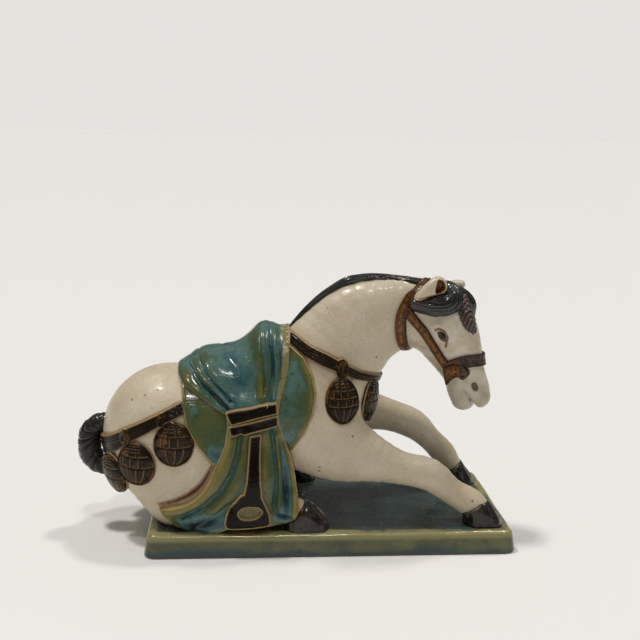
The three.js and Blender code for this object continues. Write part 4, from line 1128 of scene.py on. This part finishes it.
def strap_solid(band, ornament, high):
    """A strap of even thickness over the head: the offset of the head's skin cut to the strap's
    outline in the side view, less two scored lines, and hollowed where it would be buried."""

    def distance(x, y, z):
        d = head_skin(x, y, z)
        edge = band(x, y, z)
        lifted = high - SCORE_DEEP * bell(np.abs(edge + SCORE_IN) - SCORE_APART, 0.45)
        if ornament:
            lifted = lifted + ornament(x, y, z)
        return np.maximum(trim(d - lifted, edge, 1), -(d + BURIED))

    return distance


def head_ribbon(line):
    """The outline of a strap given by its line in the head's own side view."""
    return lambda x, y, z: ribbon(head_forward(x, y), z, line)


def scroll(x, y, z):
    """Two round beads and a curled ridge on the bit cheek."""
    f = head_forward(x, y)
    curl = np.abs(np.hypot(f - 30.4, z - 131.2) - 3.1)
    beads = np.minimum(np.hypot(f - 30.4, z - 131.2), np.hypot(f - 24.4, z - 132.4))
    return 1.1 * bell(curl, 0.9) + 1.2 * bell(beads, 1.3)


for name, band, low, high, dark, proud, ornament in (
    ("throat_strap", head_ribbon(THROAT_STRAP), (40, -40, 128), (84, 28, 206), 0.1, 0, None),
    ("cheek_strap", head_ribbon(CHEEK_STRAP), (52, -44, 126), (106, 24, 184), 0.0, 0.1, None),
    ("nose_strap", head_ribbon(NOSE_STRAP), (80, -50, 126), (122, 8, 148), 0.75, -0.1, None),
    ("bit_cheek", lambda x, y, z: inside(head_forward(x, y), z, BIT_CHEEK),
     (78, -46, 114), (118, 6, 141), 0.6, 1.2, scroll),
):
    solid = strap_solid(band, ornament, STRAP_THICK + proud)
    points, quads = skin_of(solid, low, high, step=0.68)
    edge = -band(*points.T)
    scored = bell(np.abs(edge - SCORE_IN) - SCORE_APART, 0.5)
    if ornament:
        scored = np.clip(1.1 - ornament(*points.T) * 1.6, 0, 1) * 0.6
    far_in = head_forward(points[:, 0], points[:, 1])
    if name in ("nose_strap", "bit_cheek"):
        shade = dark * np.clip((far_in - 24) / 6, 0, 1)
    else:
        shade = dark * bell(edge - 3, 1.6)
    piece(name, points, quads, amber_glaze,
          marks={"edge": edge, "scored": scored * 0.7, "dark": shade})


# The hooves are dark domes of brown-black glaze over clay scored from the crown down to the ground.
# The white of each leg ends at a slanting line above the hoof. Each hoof: outline in the side view,
# middle plane, half width, a point of the slanting line, the line's way up.
HOOVES = {
    "near_fore_hoof": ([(95, 32), (106, 40), (112.6, 36.4), (118.2, 34), (123, 29.8), (126.7, 25.3),
                        (129.9, 18.8), (131, 6), (101, 6), (100.8, 20.8), (97, 26)],
                       -44, 12.6, (105.7, 31.0), (-0.57, 0.82)),
    "far_fore_hoof": ([(101, 33.5), (110, 41.5), (116.4, 36), (121.6, 29), (128, 20), (130, 6),
                       (98, 6), (98, 20), (97, 27)],
                      39.5, 12.2, (112.0, 33.0), (-0.62, 0.78)),
    "near_hind_hoof": ([(-34.5, 20), (-33, 26), (-30, 32), (-25.6, 36.4), (-21, 37), (-15.4, 35),
                        (-8.6, 29.4), (-3.2, 21.6), (-2.4, 6), (-34.5, 6)],
                       -48.6, 11.4, (-26.6, 30.2), (-0.75, 0.66)),
    "far_hind_hoof": ([(-36.5, 20), (-35, 26), (-32, 31.4), (-27.6, 35.6), (-23, 36), (-17.4, 34),
                       (-11, 28), (-6, 20.6), (-5.4, 6), (-36.5, 6)],
                      48.6, 11.4, (-28.6, 29.6), (-0.75, 0.66)),
}


def hoof_paint(b):
    """Brown-black, rubbed to brown on the scored ridges and at the crown."""
    cloud = b.cloud(120)
    b.base = b.mix(cloud, (26, 25, 23), (42, 38, 33))
    b.lay(b.fade(cloud, 0.5, 1.0, 0.0, 0.45), (88, 70, 50))
    b.lay(b.fade(b.mark("edge"), 0.2, 1.2, 0.5, 0.0), (96, 76, 56))
    b.lay(b.times(b.specks(420, 0.1), 0.6), (140, 120, 96))


hoof_glaze = glaze("brown_black_hoof_glaze", hoof_paint, (0.12, 0.28), 0.2, 0.9, 0.3, mirror=0.35)


for name, (outline, plane, wide, crown, normal) in HOOVES.items():
    outline = rounded(outline)
    middle = (np.array(outline)[:, 0].mean(), plane)

    def hoof_solid(x, y, z):
        turned = np.arctan2(y - middle[1], x - middle[0])
        scored = 0.22 * np.cos(13 * turned + np.sin(3 * turned)) * np.clip((z - SOLE) / 6, 0, 1)
        cut = (x - crown[0]) * normal[0] + (z - crown[1]) * normal[1]
        d = trim(loaf(inside(x, z, outline), 9, y - plane, wide) + scored, cut, 1.2)
        return np.maximum(np.maximum(d, SOLE - z), -(coat(x, y, z) + 1.6))

    box = np.array([middle[0], plane, 27])
    points, quads = skin_of(hoof_solid, box - (24, 17, 13), box + (24, 17, 18), step=0.72)
    cut = (points[:, 0] - crown[0]) * normal[0] + (points[:, 2] - crown[1]) * normal[1]
    piece(name, points, quads, hoof_glaze, marks={"edge": -cut})


# The tail is a thick roll of black-glazed clay that curls down and in behind the rump, its hair
# pressed into locks that slant across it.
def tail_relief(s, a):
    """Locks about 8 mm apart, some broad and some narrow, that slant back from the middle line and
    waver along their length, with fine hair between them."""
    lean = s + 3.4 * np.cos(a) + 2.2 * np.sin(2 * a + 0.09 * s) + 1.6 * np.sin(0.31 * s + a)
    turns = np.abs(np.sin(lean * math.pi / 8.2 + 0.5 * np.sin(0.23 * lean))) ** 0.6
    return 0.13 * (turns - 0.7) + 0.022 * np.sin(lean * 3.1 + 2 * a)


def tail_paint(b):
    """Black with a grey bloom, deepest between the locks."""
    b.base = b.mix(b.cloud(90), (34, 31, 28), (54, 50, 46))
    b.sink(b.fade(b.mark("strand"), 0.2, 0.7), (16, 15, 14))


grid, s, a = roll(
    [(-163, 0, 83, 3, 4), (-168, 0, 84.4, 5, 6), (-175, 0, 82.6, 7, 7.8),
     (-181.4, 0, 76.6, 8.1, 8.8), (-183.4, 0, 67.4, 8.4, 9.4), (-182.6, 0, 58.6, 8.6, 9.4),
     (-178.6, 0, 51.6, 8, 8.8), (-172, 0, 47.6, 6.5, 7.5), (-164, 0, 46.4, 4.5, 6)],
    (0, 1, 0), 190, 84, tail_relief,
)
points, quads = wrapped(grid)
depth = np.clip(tail_relief(s[:, None], a[None]) / 0.13 + 0.7, 0, 1)
piece(
    "tail", points, quads,
    glaze("black_tail_glaze", tail_paint, (0.12, 0.28), 0.2, 0.6, 0.2, mirror=0.3),
    marks={"strand": ends_too(depth)},
)


# The breast strap and the crupper are bands in relief, scored lengthwise, with thicker keepers
# wrapped round them over the pendants. They are glazed dark brown, tan where the glaze breaks.
CRUPPER_KEEPERS = [(-125.2, 98.6, 5.2), (-151.7, 84.4, 6)]
BREAST_KEEPER = (6.6, 133, 8)


def brown_paint(b):
    """Dark brown that breaks to amber in patches and to tan along the edges of the relief, with a
    painted highlight in pale tan beside each scored line.
    """
    fine = b.cloud(420)
    b.base = b.mix(fine, (26, 17, 10), (44, 30, 18))
    patch = b.fade(b.cloud(150, 0.16), 0.35, 0.9)
    b.lay(b.times(patch, b.plus(b.mark("thin"), 0.08)), (112, 78, 36))
    # Painted highlight beside the scored lines of the pendants.
    b.lay(b.mark("painted_highlight"), (150, 116, 72))
    b.lay(b.mark("scored"), (14, 9, 6))
    edge = b.plus(b.mark("edge"), b.times(fine, 0.4))
    b.lay(b.fade(edge, 0.55, 1.15, 1.0, 0.0), (156, 130, 90))


brown_glaze = glaze("brown_harness_glaze", brown_paint, (0.12, 0.26), 0.06, 0.8, 0.4, mirror=0.16)


def keepers(x, z, places):
    """Share of a keeper over a place: one inside an upright oval, falling off at its edge."""
    d = np.min([np.hypot((x - kx) / 0.66, z - kz) - tall for kx, kz, tall in places], axis=0)
    return np.clip(0.5 - d / 1.2, 0, 1), d


def winding(x, z):
    """A wave of 3 mm along the strap, for the turns of a keeper."""
    return np.cos((x * 0.94 - z * 0.34) * 2.1)


for name, line, places, low, high, rows in (
    ("crupper", CRUPPER, CRUPPER_KEEPERS, (-180, -54, 52), (-98, 54, 118), (1.2, 2.5, 3.9)),
    ("breast_strap", BREAST, [BREAST_KEEPER], (-36, -48, 108), (48, 48, 162), (1.5, 3.6)),
):

    def strap_band(x, y, z):
        return np.minimum(ribbon(x, z, line), keepers(x, z, places)[1])

    def strap_shape(x, y, z):
        d = coat(x, y, z)
        across = -ribbon(x, z, line)
        share, _ = keepers(x, z, places)
        lines = sum(bell(across - row, 0.36) for row in rows)
        studs = 0.6 * np.cos(x * 1.35 + z * 0.3) * np.cos(z * 1.5 - x * 0.5) * (np.abs(x + 111) < 9)
        wraps = 0.7 * share + 0.3 * winding(x, z) * share + studs
        lifted = STRAP_THICK - SCORE_DEEP * np.clip(lines, 0, 1) * (1 - share) + wraps
        return np.maximum(trim(d - lifted, strap_band(x, y, z), 1), -(d + BURIED))

    points, quads = skin_of(strap_shape, low, high, step=0.62)
    x, y, z = points.T
    across = -ribbon(x, z, line)
    share, _ = keepers(x, z, places)
    scored = sum(bell(across - row, 0.4) for row in rows) * (1 - share) * 0.8
    scored += share * np.clip(-winding(x, z), 0, 1) * 0.6
    piece(name, points, quads, brown_glaze,
          marks={"edge": -strap_band(x, y, z), "scored": scored, "thin": share * 0.5})


# The harness pendants are egg-shaped bosses with a raised rim, their faces scored into panels:
# three hang from the crupper and two from the breast strap on the near side, and as many beyond.
def panels(p, q, high, wide, finer):
    """How deep the scoring is, 0 to 1, from a place p across and q up, both from -1 to 1: bowed
    level lines, upright lines like meridians that step from row to row, and short arcs on top."""
    bow = 0.1 * (1 - p * p)
    tall = np.sqrt(np.maximum(1 - q * q, 0.03))
    rows = [0.5, 0.16, -0.2] if finer else [0.46, -0.04]
    d = np.full(p.shape, 9.0)
    for level in rows:
        d = np.minimum(d, np.abs(q - level + bow) * high)
    tops = [9] + rows
    steps = [(-0.3, 0.25), (-0.55, -0.1, 0.35), (-0.3, 0.2, 0.62), (-0.5, 0.05, 0.5)]
    for i, top in enumerate(tops):
        floor_at = rows[i] if i < len(rows) else -9
        here = (q + bow <= top) & (q + bow > floor_at)
        for lon in steps[i]:
            d = np.where(here, np.minimum(d, np.abs(p / tall - lon) * wide * tall), d)
    for level in (0.66, 0.8, 0.92):
        d = np.where(np.abs(p) < 0.42, np.minimum(d, np.abs(q - level + bow) * high), d)
    return bell(d, 0.52)


for number, (middle, wide, high, face) in enumerate(PENDANTS):
    near, breast = np.array(middle, float), number >= 3
    across, rise, out = facing(face)
    face_rings, rim_rings = np.linspace(0.03, 0.88, 32), np.linspace(0.895, 1.05, 12)
    reach = np.concatenate([face_rings, rim_rings, [1.05, 1.0, 0.7]])
    a = np.linspace(0, 2 * math.pi, 120, endpoint=False)
    p = reach[:, None] * np.cos(a)
    q = reach[:, None] * np.sin(a)
    dome = PENDANT_PROUD * np.sqrt(np.maximum(1 - reach**2, 0.0))
    rim, gutter = bell(reach - 0.985, 0.03), bell(reach - 0.925, 0.025)
    lift = dome + 1.1 * rim - 0.4 * gutter
    lift[-3:] = (-1.2, -3.2, -4.4)
    on_face = np.clip((0.93 - reach) / 0.04, 0, 1)[:, None]
    cuts = panels(p, q, high, wide, breast) * on_face
    # Painted highlight: the scored lines again, moved a little aside and up, laid pale tan beside
    # each groove.
    painted_highlight = panels(p + 0.045, q - 0.03, high, wide, breast) * on_face * (1 - cuts) * 0.75
    lift = lift[:, None] - 0.8 * cuts
    pinch = 1 - 0.06 * q - (0.3 if breast else 0.1) * np.clip(-q - 0.4, 0, 1)
    for side, word in ((1, "near"), (-1, "far")):
        flip = np.array([1, side, 1])
        grid = (near + (p * pinch * wide)[..., None] * across + (q * high)[..., None] * rise
                + lift[..., None] * out) * flip
        points, quads = wrapped(grid)
        edge = np.interp(reach, [1.0, 1.045], [9, 0.2])[:, None] + 0 * p
        thin = 0.08 + 0.9 * np.exp(-(((p + 0.3) / 0.4) ** 2) - ((q - 0.2) / 0.4) ** 2)
        thin = thin * (0.3 if breast else 1) + 0.8 * rim[:, None]
        row = "breast" if breast else "crupper"
        piece(
            f"{word}_{row}_pendant_{number % 3 + 1}", points, quads, brown_glaze,
            marks={"edge": ends_too(edge), "scored": ends_too(cuts * 0.9), "thin": ends_too(thin),
                   "painted_highlight": ends_too(painted_highlight)},
        )


# The saddle flaps hang below the cloth on both sides: a sheet in relief with a thin rolled border,
# glazed green to blue, olive beside the border and tan on its edge.
SADDLE_FLAP_THICK = 2.4
FLAP_TONES = [
    (-90, 100, 10, 17, 0.22), (-88, 73, 10, 7, -0.3), (-104, 98, 3.5, 12, -0.08),
    (-28, 104, 8, 12, 0.06),
    (-32, 84, 6, 6, -0.12), (-18.5, 112, 3.5, 22, 0.12), (-22, 84, 4, 7, 0.22),
    (-23, 134, 5, 9, 0.12),
    (-101, 116, 7, 6, 0.14), (-30, 128, 7, 9, -0.14), (-26, 74, 6, 6, 0.2),
]


def tones(x, z, spots):
    """Sum of soft spots of colour: each is its strength times exp of minus the squared distance."""
    return sum(v * np.exp(-(((x - a) / u) ** 2) - ((z - b) / w) ** 2) for a, b, u, w, v in spots)


def drape_paint(b):
    """Deep teal in the hollows, blue and blue-green on the level, olive and yellow-green where the
    glaze thins on the ridges, tan on the borders, all broken up by clouds and downward runs."""
    fine = b.cloud(240)
    long = put(b.tree, "Mapping", {"Vector": b.place, "Scale": (1.0, 1.0, 0.22)}).outputs[0]
    tone = b.mark("tone")
    for cloud, strength in ((b.cloud(45), 0.14), (b.cloud(130, place=long), 0.16), (fine, 0.09)):
        tone = b.plus(tone, b.times(b.plus(cloud, -0.5), strength))
    ramp = put(b.tree, "ValToRGB", {"Fac": tone})
    stops = ramp.color_ramp.elements
    stops[0].position, stops[0].color = 0.05, colour(24, 48, 54)
    stops[1].position, stops[1].color = 1.0, colour(134, 122, 68)
    for at, tint in (
        (0.28, (50, 88, 96)), (0.42, (84, 116, 110)), (0.56, (68, 88, 60)), (0.78, (92, 94, 48)),
    ):
        stops.new(at).color = colour(*tint)
    b.base = ramp.outputs[0]
    strip = b.mark("strip")
    b.lay(b.times(strip, 0.8), (142, 126, 78))
    flecks = b.times(b.fade(fine, 0.5, 0.8), b.fade(b.at(2), 0.134, 0.152))
    b.lay(b.times(strip, flecks), (190, 182, 146))
    b.lay(b.times(b.specks(260, 0.06), 0.7), (40, 38, 26))
    edge = b.plus(b.mark("edge"), b.times(fine, 0.5))
    b.lay(b.fade(edge, 0.7, 1.6, 1.0, 0.0), (168, 144, 96))


drape_glaze = glaze(
    "green_blue_drape_glaze", drape_paint, (0.08, 0.2), 0.3, 0.9, 0.2, mirror=0.35, brushed=True
)


def flap_solid(x, y, z):
    """A sheet over the coat with a border rolled up by 0.5 mm, 1.1 mm in from its edge."""
    d = coat(x, y, z)
    edge = inside(x, z, FLAP)
    border = 0.5 * bell(edge + 1.1, 0.8)
    return np.maximum(trim(d - SADDLE_FLAP_THICK - border, edge, 1.4), -(d + BURIED))


for name, side, low, high in (
    ("near_flap", -1, (-116, -54, 56), (-8, 3, 160)),
    ("far_flap", 1, (-116, 0, 56), (-8, 54, 160)),
):

    def side_solid(x, y, z):
        return np.maximum(flap_solid(x, y, z), -side * y)

    points, quads = skin_of(side_solid, low, high, step=1.15)
    x, y, z = points.T
    edge = -inside(x, z, FLAP)
    tone = 0.52 + tones(x, z, FLAP_TONES) + 0.24 * bell(edge - 2.4, 1.8)
    piece(name, points, quads, drape_glaze, marks={"tone": tone, "edge": edge})


# The saddle is wholly hidden by a cloth thrown over it, gathered under two tie bands and let hang
# in folds to the plinth. It is modelled in the clay, and the glaze runs off its folds.
CLOTH_THICK = 3
CLOTH_INNER = 29.5
HANG_INNER = 34
HANG_TOP = 112
saddle = limb([
    (-98, 0, 113, 25.4, 34), (-88, 0, 117.5, 26.6, 36), (-73, 0, 119, 26, 36),
    (-64.5, 0, 120, 28.4, 35),
    (-56, 0, 126, 33, 33), (-48, 0, 129.5, 34, 32), (-39.5, 0, 128, 31.5, 30),
])
CREST = np.array([
    (-130, 122), (-120, 127), (-116.4, 129.8), (-111, 134), (-102, 141.4), (-97.5, 144.2),
    (-87, 146),
    (-76.4, 144.6), (-70.3, 146.6), (-64.3, 150.8), (-58.3, 157), (-51.4, 165), (-44.7, 162.8),
    (-38.5, 159), (-32.5, 161), (-20, 166),
])
CREST_ALONG = np.arange(-130, -19.5, 1.0)
CREST_RISE = np.interp(CREST_ALONG, *CREST.T)
CREST_RISE[3:-3] = np.convolve(CREST_RISE, np.ones(7) / 7, "valid")
# The hanging cloth by level: how far out it hangs, its rear and front border, its drop to them.
DRAPE_OUT = (
    [17, 20, 35, 50, 66, 80, 97, 104, 125], [62.2, 61.6, 57.8, 54.5, 52, 49.5, 46.5, 45, 40],
)
DRAPE_REAR = ([17, 33, 47, 67, 87, 104, 125], [-100, -126, -104, -88, -77, -76, -85])
DRAPE_DROP = ([17, 60, 104], [7, 5, 3])
LEAN_SHARE = 0.93
DRAPE_FRONT = ([17, 28, 34, 48, 66, 78, 91, 125], [-34, -30, -26, -26, -29, -32, -40, -42])
FOLDS = [
    (1.9, 4.5, (-75, 86), (-76, 77), (-80, 64), (-88, 51), (-101, 40.5), (-118, 32)),
    (-2.6, 1.7, (-67.8, 90), (-70.2, 73), (-74.8, 60), (-82.5, 48), (-94.5, 36.4), (-110, 28)),
    (1.5, 3.5, (-65, 90), (-66.5, 68.6), (-70, 55.6), (-77, 44.1), (-86, 34)),
    (-1.7, 2.6, (-76, 38), (-89.6, 26.9), (-102, 20)),
    (1.2, 2.6, (-50.9, 90), (-50.1, 62.7), (-48.4, 41.9), (-46, 30)),
    (-2.4, 1.3, (-45.6, 92), (-43.4, 75.1), (-41.5, 59.8), (-41.8, 50), (-43.3, 38.1),
    (-40.8, 30.9),
     (-33, 28.5)),
    (1.3, 1.6, (-42.2, 88), (-39.8, 68), (-38.9, 48), (-39.6, 36)),
    (-1.7, 3, (-38.4, 82), (-36.2, 66), (-34.8, 50.8), (-34, 33)),
    (1.6, 2.4, (-33, 78), (-29, 60.8), (-27.4, 45.9), (-28.4, 30)),
    (1.6, 2.6, (-115, 142), (-112, 129), (-104, 121.6), (-93, 114), (-80, 106)),
    (-2.8, 1.7, (-109, 146), (-106.6, 134), (-100.3, 125.6), (-88.5, 115.6), (-77.6, 106.4)),
    (1.6, 1.8, (-105, 146), (-102.6, 136), (-96.6, 127.4), (-84.6, 117), (-75.6, 108.4)),
    (-1.8, 1.1, (-102, 148), (-99.6, 137.6), (-93.8, 128.8), (-82, 118.4), (-75, 111)),
    (0.8, 2.4, (-98, 149), (-95.6, 139), (-90, 130.4), (-82.6, 122.6), (-75, 114)),
    (0.8, 6, (-92, 152), (-86, 136), (-78, 126.5), (-68, 114)),
    (-1.4, 3.4, (-62, 170), (-60.1, 138.6), (-57.7, 127.6), (-55, 114), (-54, 108)),
    (1.6, 2.6, (-55, 180), (-55.4, 150), (-54, 136), (-53.6, 127), (-54, 114)),
    (-1.4, 1.2, (-51, 180), (-52, 150), (-50.4, 138), (-49.6, 127), (-50.6, 116)),
    (1.4, 1.4, (-48.6, 180), (-49, 150), (-47.6, 136), (-47.4, 127), (-48.6, 116)),
    (-2.4, 1.4, (-46, 180), (-46.2, 150), (-44.4, 136.4), (-44.6, 125.7), (-46.8, 117.3),
    (-49, 110)),
    (1.4, 1.6, (-42.6, 180), (-42.6, 150.1), (-41.2, 135.5), (-41.7, 122.4), (-44, 112.6)),
    (-1.5, 1.1, (-39, 180), (-39.2, 150.3), (-38.8, 139.7), (-40.2, 126.1), (-42.4, 115.2)),
]


def folds(x, z):
    """Height of the folds: for each fold a bell curve of the distance from its line in the side
    view, all of them fading out towards the crest of the back."""
    height = np.zeros(x.shape, np.float32)
    for high, wide, *line in FOLDS:
        height += high * bell(ribbon(x, z, [(*p, 0) for p in line]), wide)
    crest = np.interp(x, CREST_ALONG, CREST_RISE)
    return height * np.clip((crest - z - 1) / 11, 0.03, 1)


def drape(x, y, z):
    """Distance from the hanging cloth: it stands out from the middle plane by an amount read off by
    level, less a drop towards its rear and front borders as the square of the way across. The
    sheet leans, so the way straight to it is LEAN_SHARE of the level way."""
    rear, front = np.interp(z, *DRAPE_REAR), np.interp(z, *DRAPE_FRONT)
    across = (x - (rear + front) / 2) / ((front - rear) / 2)
    drop = np.interp(z, *DRAPE_DROP)
    return (np.abs(y) - (np.interp(z, *DRAPE_OUT) - drop * across * across)) * LEAN_SHARE


def cloth_top(x, y, z, bare):
    """The cloth's upper face: the saddle and a thickness over the coat, kept under the crest's line
    that bows down to each side, and run into the hanging part, less the height of the folds."""
    hang = trim(trim(drape(x, y, z), HANG_INNER - np.abs(y), 4), z - HANG_TOP, 10)
    seat = blend(saddle(x, y, z), bare - CLOTH_THICK, 6)
    over_crest = 0.8 * (z + 0.012 * y * y - np.interp(x, CREST_ALONG, CREST_RISE))
    seat = trim(seat, over_crest.astype(np.float32), 5)
    return blend(seat, hang, 7) - folds(x, z)


CLOTH_OVER_SEAT = [
    (-79, 102), (-90, 108), (-100.3, 115.2), (-109.9, 120.4), (-114.6, 125.5), (-116.5, 131),
    (-117, 150), (-104, 185), (-30, 185), (-31, 157), (-32, 146), (-33.3, 132.7), (-36.5, 119.2),
    (-39.5, 110), (-41, 100), (-58, 94), (-77, 91),
]
SEAT_TONES = [
    (-74, 130, 13, 16, -0.14), (-76, 113, 9, 6, -0.14), (-58.5, 148, 5, 12, 0.18),
    (-55.6, 130, 5, 12, 0.24), (-53.6, 115, 5, 9, 0.32), (-45.5, 113, 3.5, 5, -0.24),
    (-109, 124, 7, 7, 0.25), (-99, 127, 7, 7, 0.14), (-102, 138, 10, 4, 0.12),
]
HANGING_TONES = [
    (-98, 22, 15, 8, -0.5), (-78, 23, 10, 5, -0.35), (-34.6, 50, 3.6, 17, -0.42),
    (-36, 26, 8, 3.5, -0.35),
    (-92, 54, 9, 12, 0.08), (-50, 66, 4, 26, 0.1), (-39.4, 62, 1.8, 20, 0.2),
    (-60, 84, 22, 5, 0.08),
]
STRIP_REAR = ([110.5, 115, 126, 139.7, 150.3, 158.3], [-43.6, -42.9, -40.4, -38.2, -38.2, -38.6])
STIRRUP_SLOT = rounded([
    (-69.4, 32.6), (-66.8, 36.7), (-59.6, 37.9), (-53.6, 36.4), (-52.2, 33), (-57.2, 29.2),
    (-65.6, 28.8),
])
for name, outline, spots, start, low, high in (
    ("saddle_cloth", CLOTH_OVER_SEAT, SEAT_TONES, 0.42, (-122, -54, 88), (-26, 54, 166)),
    ("near_hanging_cloth", CLOTH_HANGING, HANGING_TONES, 0.6, (-130, -68, 8), (-22, -26, 116)),
    ("far_hanging_cloth", CLOTH_HANGING, HANGING_TONES, 0.6, (-130, 26, 8), (-22, 68, 116)),
):
    on_seat = name == "saddle_cloth"

    def cloth_solid(x, y, z):
        bare = coat(x, y, z)
        edge = inside(x, z, outline)
        d = np.maximum(trim(cloth_top(x, y, z, bare), edge, 2), -(bare + BURIED))
        return d if on_seat else np.maximum(d, CLOTH_INNER - np.abs(y))

    points, quads = skin_of(cloth_solid, low, high, step=1.07)
    x, y, z = points.T
    edge = -inside(x, z, outline)
    tone = start + (0.09 if on_seat else 0.12) * folds(x, z) + tones(x, z, spots)
    tone += 0.25 * bell(edge - 2.2, 2.0) * (not on_seat)
    strip = np.clip((x - np.interp(z, *STRIP_REAR)) / 1.4, 0, 1) * on_seat
    opening = np.clip(0.6 - inside(x, z, STIRRUP_SLOT), 0, 1) * (z < 60)
    edge = edge - (edge - 1.0) * opening
    tone = tone + (0.8 - tone) * opening
    piece(name, points, quads, drape_glaze, marks={"tone": tone, "edge": edge, "strip": strip})


# Two tie bands hold the gathered cloth, and the stirrup hangs below them on its leather. All are
# raised bands glazed black-brown, with a tan line where the glaze breaks on each edge.
UPPER_BAND = [
    (-77.4, 103.5), (-70.8, 105.2), (-58.9, 107), (-43.1, 110), (-42.7, 104.6), (-56.5, 101.8),
    (-74.4, 96.9),
]
LOWER_BAND = [
    (-75.4, 93.5), (-61.2, 96.6), (-42.3, 101), (-42, 96), (-61.2, 91.3), (-74.1, 89.5),
]
LEATHER = [
    (-60.2, 87), (-61, 71.5), (-62.2, 56), (-64.6, 45), (-53.4, 45), (-54.6, 56), (-55, 71.5),
    (-54.3, 87.8),
]
STIRRUP = rounded([
    (-65.1, 46.6), (-70.4, 41.5), (-74.7, 36.1), (-77, 30.3), (-77, 23.6), (-68, 23), (-58.4, 23.4),
    (-48.1, 24.6), (-47.4, 29), (-48.4, 33.4), (-51.3, 39.5), (-55, 46),
], 3)
TAN_BORDER = 1.6
BAND_THICK = 2.2


def stirrup_outline(x, y, z):
    """The leather and the iron, less the opening of the iron, which keeps its size."""
    iron = trim(inside(x, z, STIRRUP), -inside(x, z, STIRRUP_SLOT) + TAN_BORDER - 0.6, 0.5)
    return np.minimum(inside(x, z, LEATHER), iron)


for name, shape, low, high in (
    ("upper_tie_band", lambda x, y, z: inside(x, z, UPPER_BAND), (-82, 92), (-38, 115)),
    ("lower_tie_band", lambda x, y, z: inside(x, z, LOWER_BAND), (-80, 83), (-38, 105)),
    ("stirrup_and_leather", stirrup_outline, (-80, 17), (-43, 95)),
):

    def band_solid(x, y, z):
        top = cloth_top(x, y, z, coat(x, y, z))
        edge = shape(x, y, z) - TAN_BORDER
        raised = BAND_THICK + 0.35 * bell(edge + 0.9, 0.6)
        return np.maximum(trim(top - raised, edge, 1), -(top + BURIED))

    for side, word in ((-1, "near"), (1, "far")):
        ys = (-68, -30) if side < 0 else (30, 68)
        box = ((low[0], ys[0], low[1]), (high[0], ys[1], high[1]))
        points, quads = skin_of(band_solid, *box, step=0.7)
        edge = TAN_BORDER - shape(*points.T)
        piece(f"{word}_{name}", points, quads, brown_glaze,
              marks={"edge": edge - 0.5, "scored": np.clip((edge - 1.6) / 0.8, 0, 1) * 0.8,
                     "thin": np.full(len(points), -0.2)})
